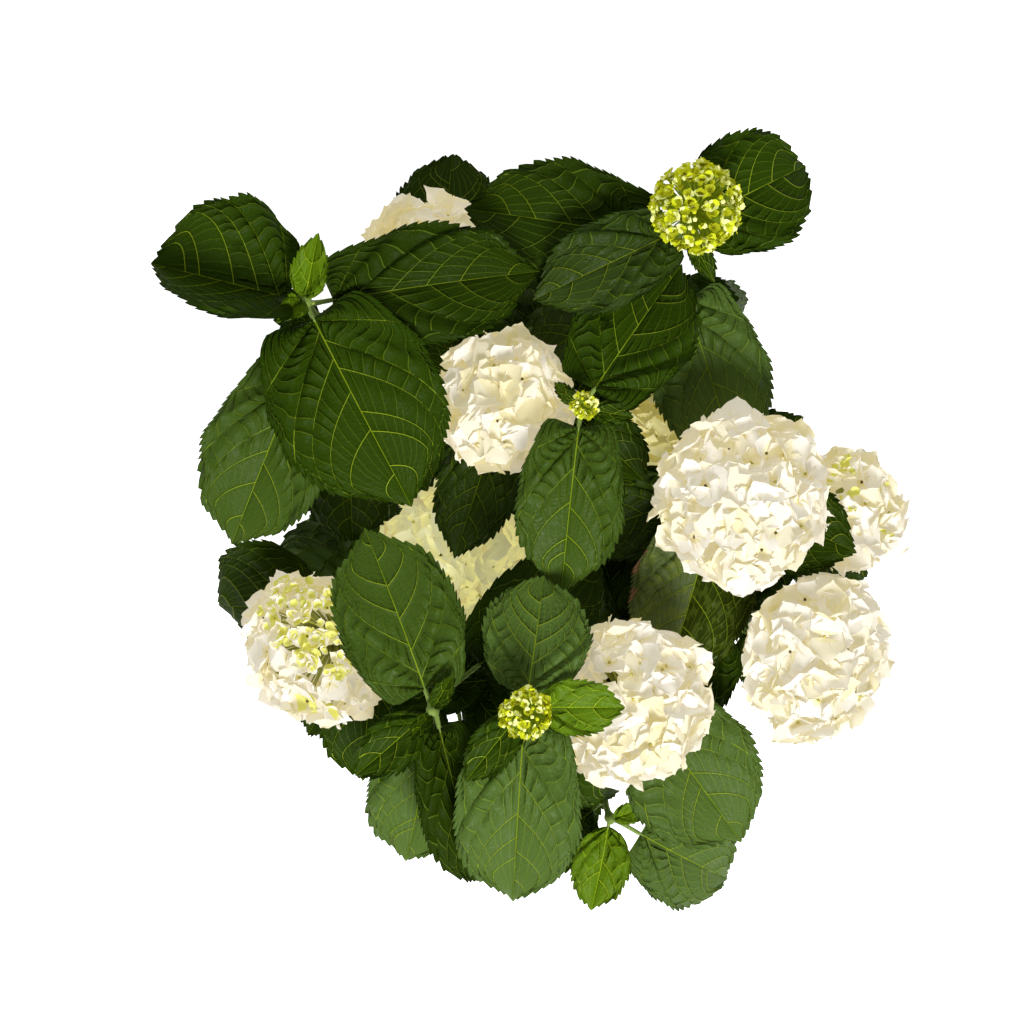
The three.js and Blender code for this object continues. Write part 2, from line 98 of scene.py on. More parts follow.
def leaf(below, heading, stalk, length, width, rise, droop, fold=9, roll=0, tint="deep"):
    return Leaf(below, heading, stalk, length, width, rise, droop, fold, roll, tint)


# One shoot: its name, its bough, its tip or its head's middle, its lean, its head's radius, the turn
# of its lower leaf pairs, and the leaves near its top.
Shoot = namedtuple("Shoot", "name bough tip lean head turn leaves")
SHOOTS = [
    Shoot("northwest", "northwest", (-123, 125, 430), 14, 0, 100, [
        leaf(2, -63, 12, 126, 104, 6, 22, 6, tint="mid"),
        leaf(8, 9, 16, 128, 74, 13, 30, 14),
        leaf(6, 166, 12, 84, 104, 16, 26, 36, 30, "mid"),
        leaf(46, -113, 34, 122, 78, -6, 30, tint="olive"),
        leaf(1, 75, 4, 42, 26, 38, 20, 34, tint="fresh"),
        leaf(1, 215, 4, 30, 18, 50, 20, 34, tint="fresh"),
    ]),
    Shoot("northeast", "northeast", (108, 179, 436), 10, 26, 60, [
        leaf(1, 26, 8, 82, 74, 20, 66, 8, tint="mid"),
        leaf(5, 206, 10, 92, 54, 10, 26, 7, tint="bluish"),
        leaf(0, -64, 3, 36, 14, 0, 20, tint="mid"),
        leaf(30, 171, 22, 112, 76, 8, 34, 10),
        leaf(48, -71, 30, 112, 74, -2, 30, tint="pale"),
    ]),
    Shoot("east", "east", (139, 8, 385), 6, 56, 10, [
        leaf(2, -22, 14, 82, 62, 13, 26),
        leaf(4, -104, 16, 108, 78, 3, 28, tint="aged"),
        leaf(12, 42, 12, 64, 48, 4, 25),
        leaf(24, -162, 14, 78, 54, -4, 24, tint="bluish"),
    ]),
    Shoot("south", "south", (9, -118, 438), 4, 15, 45, [
        leaf(1, 0, 6, 54, 34, 9, 26, tint="fresh"),
        leaf(4, 81, 8, 74, 66, 8, 28, 12, tint="pale"),
        leaf(2, -130, 6, 52, 28, 8, 24, 14, tint="mid"),
        leaf(8, -94, 12, 122, 78, 8, 40, 10, tint="pale"),
    ]),
    Shoot("inner_southwest", "southwest", (-48, -119, 408), 6, 0, 10, [
        leaf(5, 109, 14, 104, 70, 9, 24, 8, tint="olive"),
        leaf(14, -138, 8, 56, 34, 12, 30, 16, tint="mid"),
        leaf(16, -76, 14, 108, 54, 0, 34, 28),
        leaf(44, -101, 16, 100, 66, -8, 32, tint="pale"),
        leaf(0, 60, 3, 26, 14, 30, 20, 30, tint="mid"),
        leaf(0, -125, 3, 22, 12, 40, 20, 30, tint="mid"),
    ]),
    Shoot("inner_northeast", "northeast", (43, 63, 416), 4, 8.5, 0, [
        leaf(3, 56, 14, 100, 74, 3, 22, 9, tint="mid"),
        leaf(5, -97, 12, 104, 66, 6, 34, 10, tint="olive"),
        leaf(0, 138, 3, 20, 10, 15, 20, tint="mid"),
        leaf(0, -11, 4, 28, 14, 12, 20, tint="mid"),
        leaf(48, -44, 8, 56, 42, 0, 28),
    ]),
    Shoot("inner_southeast", "south", (71, -116, 360), 8, 53, 40, [
        leaf(2, -53, 22, 118, 88, 1, 32, tint="pale"),
        leaf(5, 128, 14, 86, 60, -2, 24),
    ]),
    Shoot("inner_north", "northwest", (-6, 68, 366), 3, 45, 0, [
        leaf(2, -109, 16, 88, 52, 15, 24, tint="bluish"),
        leaf(2, 47, 10, 70, 56, 4, 25),
        leaf(20, 152, 10, 64, 48, 0, 24),
    ]),
    Shoot("southeast", "east", (190, -90, 326), 46, 55, 70, [
        leaf(3, 76, 10, 66, 52, 4, 25),
        leaf(8, -127, 10, 76, 56, -4, 24),
        leaf(12, -40, 12, 78, 58, -12, 36),
    ]),
    Shoot("southwest", "southwest", (-123, -86, 322), 44, 52, 20, [
        leaf(4, 152, 42, 70, 84, 20, 110, -4),
        leaf(20, 96, 16, 88, 60, 2, 26, tint="olive"),
        leaf(6, -95, 22, 94, 66, -2, 28, tint="mid"),
        leaf(14, -120, 26, 76, 44, -6, 26),
    ]),
    Shoot("north", "northwest", (-49, 152, 345), 16, 48, 0, [
        leaf(4, 88, 14, 92, 70, 0, 36),
        leaf(8, -70, 14, 84, 56, -4, 26),
    ]),
    Shoot("outer_east", "east", (213, 0, 300), 30, 41, 50, [
        leaf(4, 112, 12, 62, 50, -4, 34),
        leaf(6, -48, 12, 70, 50, -8, 34, tint="bluish"),
    ]),
    Shoot("outer_south", "south", (63, -197, 282), 20, 0, 60, [
        leaf(4, -31, 24, 92, 66, 0, 32, tint="pale"),
        leaf(2, -100, 6, 56, 38, 10, 30, 14, tint="fresh"),
        leaf(4, -133, 8, 44, 26, 2, 24, tint="mid"),
        leaf(22, -139, 10, 66, 42, -6, 26, tint="mid"),
        leaf(0, 20, 3, 26, 15, 26, 30, 24, tint="fresh"),
    ]),
    Shoot("middle", "southwest", (-38, -28, 278), 2, 49, 0, [
        leaf(2, -83, 12, 80, 48, 0, 26),
        leaf(5, 0, 10, 64, 46, 0, 24),
    ]),
    Shoot("low_northeast", "northeast", (89, 60, 268), 12, 34, 15, [
        leaf(4, -30, 12, 70, 48, -4, 24),
    ]),
]
BOUGH_NAMES = list(dict.fromkeys(shoot.bough for shoot in SHOOTS))
LOWER_TINTS = ("deep", "mid", "deep", "bluish", "deep", "olive")


def jitter(seed):
    """A number from -1 to 1 that depends only on its seed.

    Each leaf, floret and head has a seed of its own, and each of its draws adds an offset to it.
    """
    value = math.sin(seed * 12.9898) * 43758.5453
    return 2 * (value - math.floor(value)) - 1


def strayed(middle_and_reach, seed):
    """A size that strays from its middle by up to its reach, by its seed."""
    middle, reach = middle_and_reach
    return middle + reach * jitter(seed)


def unit(vector):
    return vector / np.linalg.norm(vector)


def lerp(start, end, share):
    return start + (end - start) * share


def lengths(array):
    """The length of each row of an array, kept as a column."""
    return np.linalg.norm(array, axis=-1, keepdims=True)


# ---------------------------------------------------------------- curves of the limbs
def bezier(points, shares):
    """Places and unit tangents of a Bezier curve at an array of parameters."""
    rows = [np.outer(np.ones(len(shares)), point) for point in points]
    shares = np.asarray(shares, float)[:, None]
    while len(rows) > 2:
        rows = [lerp(a, b, shares) for a, b in zip(rows, rows[1:])]
    tangents = rows[1] - rows[0]
    return lerp(rows[0], rows[1], shares), tangents / lengths(tangents)


FORK = np.array([*TRUNK["lean"], TRUNK["height"]], float)


def bough_knuckle(name):
    tips = [shoot.tip[:2] for shoot in SHOOTS if shoot.bough == name]
    middle = np.mean(tips, axis=0) * BOUGH["reach"]
    return np.array([*middle, BOUGH["height"]], float)


def bough_points(name):
    knuckle = bough_knuckle(name)
    bend = lerp(FORK, knuckle, BOUGH["bend_out"])
    bend[2] = lerp(FORK[2], knuckle[2], BOUGH["bend_up"])
    return [FORK + unit(bend - FORK) * (TRUNK["knuckle"] + GAP), bend, knuckle]


def plan_heading(start, end):
    return math.atan2(end[1] - start[1], end[0] - start[0])


def turn_between(start, end):
    return math.atan2(math.sin(end - start), math.cos(end - start))


def seat_direction(shoot):
    """Where a shoot leaves its knuckle: side by side with the others, the middle one steepest."""
    knuckle = bough_knuckle(shoot.bough)
    bough_heading = plan_heading(FORK, knuckle)

    def turn_of(one):
        return turn_between(bough_heading, plan_heading(knuckle, one.tip))

    rank = sum(turn_of(one) < turn_of(shoot) for one in SHOOTS if one.bough == shoot.bough) - 1
    heading = bough_heading + rank * math.radians(SEAT["spread"])
    rise = math.radians(SEAT["middle_rise"] if rank == 0 else SEAT["side_rise"])
    level = np.array([math.cos(heading), math.sin(heading), 0.0])
    return level * math.cos(rise) + UP * math.sin(rise)


def shoot_points(shoot):
    """The four points of a shoot's curve, from its seat on the knuckle to its tip."""
    knuckle = bough_knuckle(shoot.bough)
    tip = np.array(shoot.tip, float)
    climb = tip[2] - knuckle[2]
    outward = unit(tip * (1, 1, 0))
    lean = math.radians(shoot.lean)
    axis = UP * math.cos(lean) + outward * math.sin(lean)
    seat = seat_direction(shoot)
    start = knuckle + seat * (BOUGH["knuckle"] + GAP)
    leaving = start + seat * SHOOT_BEND["leave"] * climb
    return [start, leaving, tip - axis * SHOOT_BEND["straight"] * climb, tip]


def neck_length(shoot):
    return shoot.head * (HEAD["squash"] + HEAD["neck_per_radius"]) + HEAD["neck"] if shoot.head else 0


def before_tip(shoot, distance):
    return 1 - distance / (3 * SHOOT_BEND["straight"] * (shoot.tip[2] - BOUGH["height"]))


def leaf_share(shoot, one):
    """The parameter of a shoot's curve where a leaf's stalk leaves it."""
    depth = neck_length(shoot) + STALK["depth"] + one.below
    return max(before_tip(shoot, depth), MASS["lowest_leaf"])


def leaf_root(shoot, one):
    return bezier(shoot_points(shoot), [leaf_share(shoot, one)])[0][0]


# ---------------------------------------------------------------- leaves of the rule
def outline(u):
    """Half the width of a blade as a share of its greatest half width."""
    widest = OVATE["rise"] / (OVATE["rise"] + OVATE["fall"])
    swell = u ** OVATE["rise"] * (1 - u) ** OVATE["fall"]
    return swell / (widest ** OVATE["rise"] * (1 - widest) ** OVATE["fall"])


def leaf_frame(root, one, u):
    """Place, side and face of a blade at an array of places along it, 0 at its base, 1 at its tip."""
    heading, rise, droop, roll = (math.radians(a) for a in (one.heading, one.rise, one.droop, one.roll))
    stalk_rise = math.radians(one.rise + STALK["extra_rise"])
    out = np.array([math.cos(heading), math.sin(heading), 0.0])
    u = np.asarray(u, float)[..., None]
    pitch = rise - droop * u
    place = root + out * one.stalk * math.cos(stalk_rise) + UP * one.stalk * math.sin(stalk_rise)
    place = place + out * one.length * (math.sin(rise) - np.sin(pitch)) / droop
    place = place + UP * one.length * (np.cos(pitch) - math.cos(rise)) / droop
    tangent = out * np.cos(pitch) + UP * np.sin(pitch)
    level = np.cross(UP, out)
    normal = np.cross(tangent, level)
    side = level * math.cos(roll) + normal * math.sin(roll)
    face = normal * math.cos(roll) - level * math.sin(roll)
    return place, side, face


def lower_leaves(shoot, number):
    made = []
    for pair in range(LOWER["pairs"]):
        for half in (0, 180):
            seed = 100 * number + 10 * pair + half / 90 + 1
            size = strayed(LOWER["size"], seed)
            made.append(leaf(
                LOWER["below"] + LOWER["step"] * (pair + LOWER["step_stray"] * jitter(seed + 0.1)),
                shoot.turn + 90 * pair + half + LOWER["turn_stray"] * jitter(seed + 0.2),
                LOWER["stalk"] * size,
                LOWER["length"] * size,
                LOWER["width"] * size,
                LOWER["rise"] + LOWER["rise_per_pair"] * pair + LOWER["rise_stray"] * jitter(seed + 0.3),
                strayed(LOWER["droop"], seed + 0.4),
                LOWER["fold"],
                tint=LOWER_TINTS[(number + 2 * pair + half // 90) % len(LOWER_TINTS)],
            ))
    return made


def axil_leaves(shoot, number):
    """The small leaves that break from the axils under the lower pairs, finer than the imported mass."""
    made = []
    for pair in range(AXIL["pairs"]):
        for half in (0, 180):
            seed = 100 * number + 10 * pair + half / 90 + 51
            size = strayed(AXIL["size"], seed)
            made.append(leaf(
                LOWER["below"] + LOWER["step"] * (pair + 1) - AXIL["above"],
                shoot.turn + 90 * pair + half + strayed(AXIL["turn"], seed + 0.2),
                AXIL["stalk"],
                AXIL["length"] * size,
                AXIL["width"] * size,
                strayed(AXIL["rise"], seed + 0.3),
                AXIL["droop"],
                AXIL["fold"],
                tint="mid",
            ))
    return made


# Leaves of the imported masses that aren't drawn: lower ones that would hide the heads and the gap under
# them, and an upper one that lies in its neighbour. Each is a shoot, a heading, how near to it, and
# upper or not.
LEFT_OUT = (
    ("inner_northeast", 347, 30, False),
    ("south", 136, 30, False),
    ("south", 78, 30, False),
    ("south", 225, 12, False),
    ("south", 200, 12, False),
    ("southwest", 288, 12, False),
    ("outer_south", 227, 3, True),
)
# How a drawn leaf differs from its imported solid, so that finer margins clear their neighbours.
SETTLED = {
    ("outer_south", -31): {"rise": -14},
    ("southwest", 152): {"width": 14, "heading": 25, "droop": -45, "roll": -35},
    ("inner_southwest", 109): {"width": 6},
}
INNER_LEAVES = {"east": [leaf(120, -128, 14, 88, 60, 6, 30)]}  # large ones deep in the crown


def node_tree(name):
    """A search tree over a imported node's faces, in metres."""
    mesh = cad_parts[name].data
    return BVHTree.FromPolygons([v.co for v in mesh.vertices], [p.vertices for p in mesh.polygons])


def packed_place(tree, root, one):
    """A leaf turned and raised as its solid is, and how far its midrib then lies from the solid."""
    cuts = BLADE_CUTS if one.length > SMALL_LEAF else SMALL_BLADE_CUTS
    found = []
    for turn in TRY_TURNS:
        for rise in TRY_RISES:
            tried = one._replace(heading=one.heading + turn, rise=one.rise + rise)
            midrib = leaf_frame(root, tried, cuts[1:])[0] * MM
            far = max(tree.find_nearest(Vector(p))[3] for p in midrib)
            found.append((far, turn, rise, tried))
    nearest = min(found)
    return nearest[3], nearest[0]


def is_left_out(shoot, one, upper):
    return any(shoot.name == name and upper == high and abs(one.heading % 360 - heading) < near
               for name, heading, near, high in LEFT_OUT)


def grown_leaves():
    """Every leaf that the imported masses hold, each where its solid stands, and the axil leaves."""
    wanted = [(shoot, one, True) for shoot in SHOOTS for one in shoot.leaves]
    for number, shoot in enumerate(SHOOTS):
        wanted += [(shoot, one, False) for one in lower_leaves(shoot, number)]
    trees = {shoot.name: node_tree("leaves_" + shoot.name) for shoot in SHOOTS}
    grown = []
    for shoot, one, upper in wanted:
        root = leaf_root(shoot, one)
        placed, far = packed_place(trees[shoot.name], root, one)
        if far < SEATED * MM and not is_left_out(shoot, one, upper):
            settled = SETTLED.get((shoot.name, one.heading), {})
            moved = {field: getattr(placed, field) + more for field, more in settled.items()}
            grown.append(Grown(shoot, root, placed._replace(**moved), upper))
    for number, shoot in enumerate(SHOOTS):
        for one in axil_leaves(shoot, number) + INNER_LEAVES.get(shoot.name, []):
            grown.append(Grown(shoot, leaf_root(shoot, one), one, False))
    return grown


# ---------------------------------------------------------------- joined meshes from arrays
SURFACE_UV = "surface"  # the pieces' one UV map, which their grain and pillows read
SHARP_MARGIN = 78  # faces that meet at more than this angle are shaded apart, in degrees
SAME_PLACE = 0.002 * MM  # points that lie nearer than this are one


class Heap:
    """Many small meshes gathered into one: their points, faces, materials and UV places."""

    def __init__(self):
        self.points, self.faces, self.slots, self.places = [], [], [], []
        self.count = 0
        self.triangles = 0

    def add(self, points, faces, slots, places=None):
        """Points in millimetres, faces as an array of quads or triangles, one slot per face or one."""
        faces = np.asarray(faces)
        slots = np.broadcast_to(np.asarray(slots, np.int32), (len(faces),))
        self.points.append(points)
        self.faces.append(faces + self.count)
        self.slots.append(slots)
        self.places.append(np.zeros((len(points), 2)) if places is None else places)
        self.count += len(points)
        self.triangles += len(faces) * (faces.shape[1] - 2)

    def build(self, name, materials):
        """The joined mesh as an object, with doubles merged so that tips and poles are closed."""
        points = np.concatenate(self.points) * MM
        places = np.concatenate(self.places)
        mesh = bpy.data.meshes.new(name)
        loops = np.concatenate([f.ravel() for f in self.faces])
        sizes = np.concatenate([np.full(len(f), f.shape[1]) for f in self.faces])
        mesh.vertices.add(len(points))
        mesh.vertices.foreach_set("co", points.astype(np.float32).ravel())
        mesh.loops.add(len(loops))
        mesh.loops.foreach_set("vertex_index", loops.astype(np.int32))
        mesh.polygons.add(len(sizes))
        mesh.polygons.foreach_set("loop_start", (np.cumsum(sizes) - sizes).astype(np.int32))
        mesh.polygons.foreach_set("material_index", np.concatenate(self.slots).astype(np.int32))
        mesh.polygons.foreach_set("use_smooth", np.ones(len(sizes), bool))
        layer = mesh.uv_layers.new(name=SURFACE_UV)
        layer.data.foreach_set("uv", places[loops].astype(np.float32).ravel())
        mesh.update(calc_edges=True)
        merge_doubles(mesh)
        mesh.set_sharp_from_angle(angle=math.radians(SHARP_MARGIN))
        for material in materials:
            mesh.materials.append(material)
        return new_object(name, mesh)


def new_object(name, data):
    thing = bpy.data.objects.new(name, data)
    bpy.context.scene.collection.objects.link(thing)
    return thing


def merge_doubles(mesh):
    bm = bmesh.new()
    bm.from_mesh(mesh)
    bmesh.ops.remove_doubles(bm, verts=bm.verts, dist=SAME_PLACE)
    bm.to_mesh(mesh)
    bm.free()


def grid_faces(rows, columns, wrap=False):
    """Quads of a grid of points stored row by row, closed across its columns where wrap is set."""
    across = columns if wrap else columns - 1
    i, j = np.meshgrid(np.arange(rows - 1), np.arange(across), indexing="ij")
    i, j = i.ravel(), j.ravel()
    k = (j + 1) % columns
    return np.stack([i * columns + j, i * columns + k, (i + 1) * columns + k, (i + 1) * columns + j], 1)


def frames_along(path):
    """Unit tangents and two directions across each point of a path, without twist."""
    tangents = np.gradient(path, axis=0)
    tangents /= lengths(tangents)
    guide = EAST if abs(tangents[0][0]) < 0.8 else np.array([0.0, 1.0, 0.0])
    sides = []
    for tangent in tangents:
        guide = unit(guide - tangent * np.dot(guide, tangent))
        sides.append(guide)
    sides = np.array(sides)
    return tangents, sides, np.cross(tangents, sides)


def add_tube(heap, path, radii, slot, sides=8):
    """A round closed tube along a path, with a radius for each point of it."""
    path = np.asarray(path, float)
    tangents, side, across = frames_along(path)
    radii = np.asarray(radii, float)
    ends = tangents[[0, -1]] * radii[[0, -1], None] / 2
    path = np.concatenate([path[:1] - ends[:1], path, path[-1:] + ends[1:]])
    side = np.concatenate([side[:1], side, side[-1:]])
    across = np.concatenate([across[:1], across, across[-1:]])
    radii = np.concatenate([[0.0], radii, [0.0]])
    angles = np.arange(sides) * 2 * math.pi / sides
    ring = side[:, None] * np.cos(angles)[None, :, None] + across[:, None] * np.sin(angles)[None, :, None]
    points = path[:, None] + ring * radii[:, None, None]
    run = run_along(path)
    places = np.stack(np.broadcast_arrays(angles[None] * radii.max(), run[:, None]), -1) / 10
    heap.add(points.reshape(-1, 3), grid_faces(len(path), sides, True), slot, places.reshape(-1, 2))


# ---------------------------------------------------------------- settings of the shrub
def length_setting(name, description, millimetres):
    return bpy.props.FloatProperty(
        name=name, description=description, default=millimetres * MM, unit="LENGTH")


def colour_setting(name, description, colour):
    return bpy.props.FloatVectorProperty(
        name=name, description=description, default=colour, subtype="COLOR", size=3)


class HydrangeaLeafSettings(bpy.types.PropertyGroup):
    tooth: length_setting("Tooth spacing", "Length of the margin that one tooth takes", 5.3)
    tooth_depth: length_setting("Tooth depth", "How far a tooth stands out of the margin", 1.5)
    quilt: length_setting("Quilting", "How far the blade swells between two side veins", 3.3)
    wave: length_setting("Margin wave", "How far the margin rises and falls", 1.8)
    vein: length_setting("Vein width", "Width of a side vein where it leaves the midrib", 0.62)
    thickness: length_setting("Blade thickness", "Thickness of a blade between its veins", 0.45)
    deep: colour_setting("Deep green", "The old shaded leaves", (0.0145, 0.0300, 0.0009))
    mid: colour_setting("Leaf green", "The full-grown leaves in the light", (0.0185, 0.0400, 0.0010))
    bluish: colour_setting("Bluish green", "The leaves with a bluish bloom", (0.020, 0.039, 0.0030))
    olive: colour_setting("Olive green", "The duller leaves in the light", (0.036, 0.068, 0.0058))
    pale: colour_setting("Pale green", "The lower sunlit leaves", (0.054, 0.096, 0.0148))
    fresh: colour_setting("Fresh green", "The young leaves", (0.076, 0.142, 0.0030))
    vein_colour: colour_setting("Vein", "The veins", (0.170, 0.235, 0.008))


class HydrangeaBloomSettings(bpy.types.PropertyGroup):
    floret_area: bpy.props.FloatProperty(
        name="Area of a floret", description="Surface of the head that one floret takes, in mm2",
        default=215, min=80)
    petal: length_setting("Petal length", "Length of one petal of a full floret", 16.5)
    bud_petal: length_setting("Young petal length", "Length of one petal of a green floret", 3.9)
    white: colour_setting("White", "The open petals", (0.50, 0.49, 0.475))
    cream: colour_setting("Cream", "The warmer petals", (0.49, 0.46, 0.34))
    greenish: colour_setting("Greenish white", "The petals that still open", (0.52, 0.525, 0.17))
    lime: colour_setting("Lime", "The green florets", (0.45, 0.50, 0.012))


class HydrangeaWoodSettings(bpy.types.PropertyGroup):
    bark_depth: length_setting("Bark relief", "Depth of the peeling strips on the stool", 1.1)
    old_wood: colour_setting("Old wood", "The stool and boughs", (0.150, 0.095, 0.050))
    green_cane: colour_setting("Green cane", "The young stems and stalks", (0.135, 0.200, 0.035))


class HydrangeaStageSettings(bpy.types.PropertyGroup):
    camera_height: bpy.props.FloatProperty(
        name="Camera height", description="Height of the camera over the ground",
        default=2.23, unit="LENGTH")
    lens: bpy.props.FloatProperty(
        name="Lens", description="Focal length on a frame 36 mm wide", default=107.7, unit="CAMERA")
    floor_colour: colour_setting("Floor", "The floor", (0.95, 0.95, 0.95))


SETTINGS = {
    "hydrangea_leaves": HydrangeaLeafSettings,
    "hydrangea_blooms": HydrangeaBloomSettings,
    "hydrangea_wood": HydrangeaWoodSettings,
    "hydrangea_stage": HydrangeaStageSettings,
}


# ---------------------------------------------------------------- shader groups and materials
def new_group(name, inputs, outputs):
    group = bpy.data.node_groups.new(name, "ShaderNodeTree")
    for label, kind, default in inputs:
        socket = group.interface.new_socket(name=label, in_out="INPUT", socket_type=kind)
        if default is not None:
            socket.default_value = default
    for label, kind in outputs:
        group.interface.new_socket(name=label, in_out="OUTPUT", socket_type=kind)
    return group, group.nodes.new("NodeGroupInput"), group.nodes.new("NodeGroupOutput")


def add_node(tree, kind, links=(), **settings):
    """A node with its settings and values, and the sockets that its inputs are linked to, by name."""
    node = tree.nodes.new(kind)
    for name, value in settings.items():
        if hasattr(node, name):
            setattr(node, name, value)
        else:
            node.inputs[name.replace("_", " ")].default_value = value
    for name, source in dict(links).items():
        tree.links.new(source, node.inputs[name])
    return node


NET_WOBBLE = {"scale": 120.0, "reach": 6 * MM}  # how the finer veins' net is bent out of its cells
PILLOW_HEIGHT = 2 * MM
PILLOW_POWERS = {"X": 0.8, "Y": 0.3}  # how flat a pillow is across its cell, and between two side veins
FINE_HEIGHT = 0.8 * MM
PETAL_RIB_HEIGHT = 0.5 * MM
RIB_STRETCH, FIBRE_STRETCH = 0.16, 0.14  # how long petal ribs and bark fibres are drawn: less is longer
FINE_VEIN_WIDTH = 0.35  # how far a fine vein's groove reaches into the noise's cells
BARK_CONTRAST = (0.36, 0.66)  # the stretch of the noise over which sound bark turns to worn bark
BARK_ROUGHNESS = (0.95, 0.6)


def swept(group, value, power):
    """An arch over a value that runs from 0 to 1, flatter for a smaller power."""
    half_turn = add_node(group, "ShaderNodeMath", {0: value}, operation="MULTIPLY")
    half_turn.inputs[1].default_value = math.pi
    turned_value = {0: half_turn.outputs["Value"]}
    arch = add_node(group, "ShaderNodeMath", turned_value, operation="SINE", use_clamp=True)
    flat = add_node(group, "ShaderNodeMath", {0: arch.outputs["Value"]}, operation="POWER")
    flat.inputs[1].default_value = power
    return flat.outputs["Value"]


def fine_vein_group():
    """A pillow in each cell of a blade's net and finer veins pressed into it, with an uneven gloss.

    The pillows read the blade's own UV map: across a cell of the net, and along it between two veins.
    """
    group, given, out = new_group(
        "Fine veins",
        [("Scale", "NodeSocketFloat", 300.0), ("Depth", "NodeSocketFloat", 0.3),
         ("Pillow", "NodeSocketFloat", 0.8),
         ("Gloss low", "NodeSocketFloat", 0.32), ("Gloss high", "NodeSocketFloat", 0.5)],
        [("Roughness", "NodeSocketFloat"), ("Normal", "NodeSocketVector")],
    )
    place = add_node(group, "ShaderNodeTexCoord").outputs["Object"]
    wobble = add_node(
        group, "ShaderNodeTexNoise", {"Vector": place}, Scale=NET_WOBBLE["scale"], Detail=2.0)
    bend = add_node(
        group, "ShaderNodeVectorMath", {0: wobble.outputs["Color"], 2: place}, operation="MULTIPLY_ADD")
    bend.inputs[1].default_value = [NET_WOBBLE["reach"]] * 3
    net = add_node(
        group, "ShaderNodeTexVoronoi",
        {"Vector": bend.outputs["Vector"], "Scale": given.outputs["Scale"]}, feature="DISTANCE_TO_EDGE")
    swell = add_node(
        group, "ShaderNodeMapRange", {"Value": net.outputs["Distance"]},
        interpolation_type="SMOOTHSTEP", From_Max=FINE_VEIN_WIDTH)
    uv = add_node(group, "ShaderNodeUVMap", uv_map=SURFACE_UV).outputs["UV"]
    split = add_node(group, "ShaderNodeSeparateXYZ", {"Vector": uv}).outputs
    arches = [swept(group, split[axis], power) for axis, power in PILLOW_POWERS.items()]
    pillow = add_node(group, "ShaderNodeMath", enumerate(arches), operation="MULTIPLY")
    swollen = add_node(
        group, "ShaderNodeBump",
        {"Strength": given.outputs["Pillow"], "Height": pillow.outputs["Value"]}, Distance=PILLOW_HEIGHT)
    bump = add_node(
        group, "ShaderNodeBump",
        {"Strength": given.outputs["Depth"], "Height": swell.outputs["Result"],
         "Normal": swollen.outputs["Normal"]}, Distance=FINE_HEIGHT)
    gloss = add_node(
        group, "ShaderNodeMapRange",
        {"Value": wobble.outputs["Fac"], "To Min": given.outputs["Gloss low"],
         "To Max": given.outputs["Gloss high"]}, From_Min=0.3, From_Max=0.7)
    group.links.new(gloss.outputs["Result"], out.inputs["Roughness"])
    group.links.new(bump.outputs["Normal"], out.inputs["Normal"])
    return group


def petal_grain_group():
    """Fine ribs that fan along a petal, on its own UV map."""
    group, given, out = new_group(
        "Petal grain", [("Ribs", "NodeSocketFloat", 6.0), ("Depth", "NodeSocketFloat", 0.3)],
        [("Normal", "NodeSocketVector")],
    )
    uv = add_node(group, "ShaderNodeUVMap", uv_map=SURFACE_UV).outputs["UV"]
    stretch = add_node(group, "ShaderNodeMapping", {"Vector": uv}, Scale=(1.0, RIB_STRETCH, 1.0))
    ribs = add_node(
        group, "ShaderNodeTexNoise",
        {"Vector": stretch.outputs["Vector"], "Scale": given.outputs["Ribs"]}, Detail=2.0)
    bump = add_node(
        group, "ShaderNodeBump",
        {"Strength": given.outputs["Depth"], "Height": ribs.outputs["Fac"]}, Distance=PETAL_RIB_HEIGHT)
    group.links.new(bump.outputs["Normal"], out.inputs["Normal"])
    return group


def bark_grain_group():
    """Long fibres, strips and specks of a woody stem, on object coordinates."""
    group, given, out = new_group(
        "Bark grain",
        [("Colour", "NodeSocketColor", (0.2, 0.1, 0.05, 1)),
         ("Worn", "NodeSocketColor", (0.4, 0.3, 0.2, 1)),
         ("Scale", "NodeSocketFloat", 220.0), ("Depth", "NodeSocketFloat", 0.6)],
        [("Colour", "NodeSocketColor"), ("Roughness", "NodeSocketFloat"), ("Normal", "NodeSocketVector")],
    )
    place = add_node(group, "ShaderNodeTexCoord").outputs["Object"]
    stretch = add_node(group, "ShaderNodeMapping", {"Vector": place}, Scale=(1.0, 1.0, FIBRE_STRETCH))
    noise_links = {"Vector": stretch.outputs["Vector"], "Scale": given.outputs["Scale"]}
    fibres = add_node(
        group, "ShaderNodeTexNoise", noise_links, Detail=5.0, Roughness=0.65).outputs["Fac"]
    sound, worn = BARK_CONTRAST
    contrast = add_node(group, "ShaderNodeMapRange", {"Value": fibres}, From_Min=sound, From_Max=worn)
    mix = add_node(
        group, "ShaderNodeMix",
        {"Factor": contrast.outputs["Result"], "A": given.outputs["Colour"], "B": given.outputs["Worn"]},
        data_type="RGBA")
    low, high = BARK_ROUGHNESS
    rough = add_node(group, "ShaderNodeMapRange", {"Value": fibres}, To_Min=low, To_Max=high)
    bump = add_node(
        group, "ShaderNodeBump", {"Strength": given.outputs["Depth"], "Height": fibres},
        Distance=FINE_HEIGHT)
    group.links.new(mix.outputs["Result"], out.inputs["Colour"])
    group.links.new(rough.outputs["Result"], out.inputs["Roughness"])
    group.links.new(bump.outputs["Normal"], out.inputs["Normal"])
    return group


def group_named(name, make):
    return bpy.data.node_groups.get(name) or make()


def new_material(name, colour, roughness=0.5, specular=0.5):
    material = bpy.data.materials.new(name)
    material.use_nodes = True
    material.diffuse_color = (*colour, 1)
    shader = material.node_tree.nodes["Principled BSDF"]
    shader.inputs["Base Color"].default_value = (*colour, 1)
    shader.inputs["Roughness"].default_value = roughness
    shader.inputs["Specular IOR Level"].default_value = specular
    return material, shader


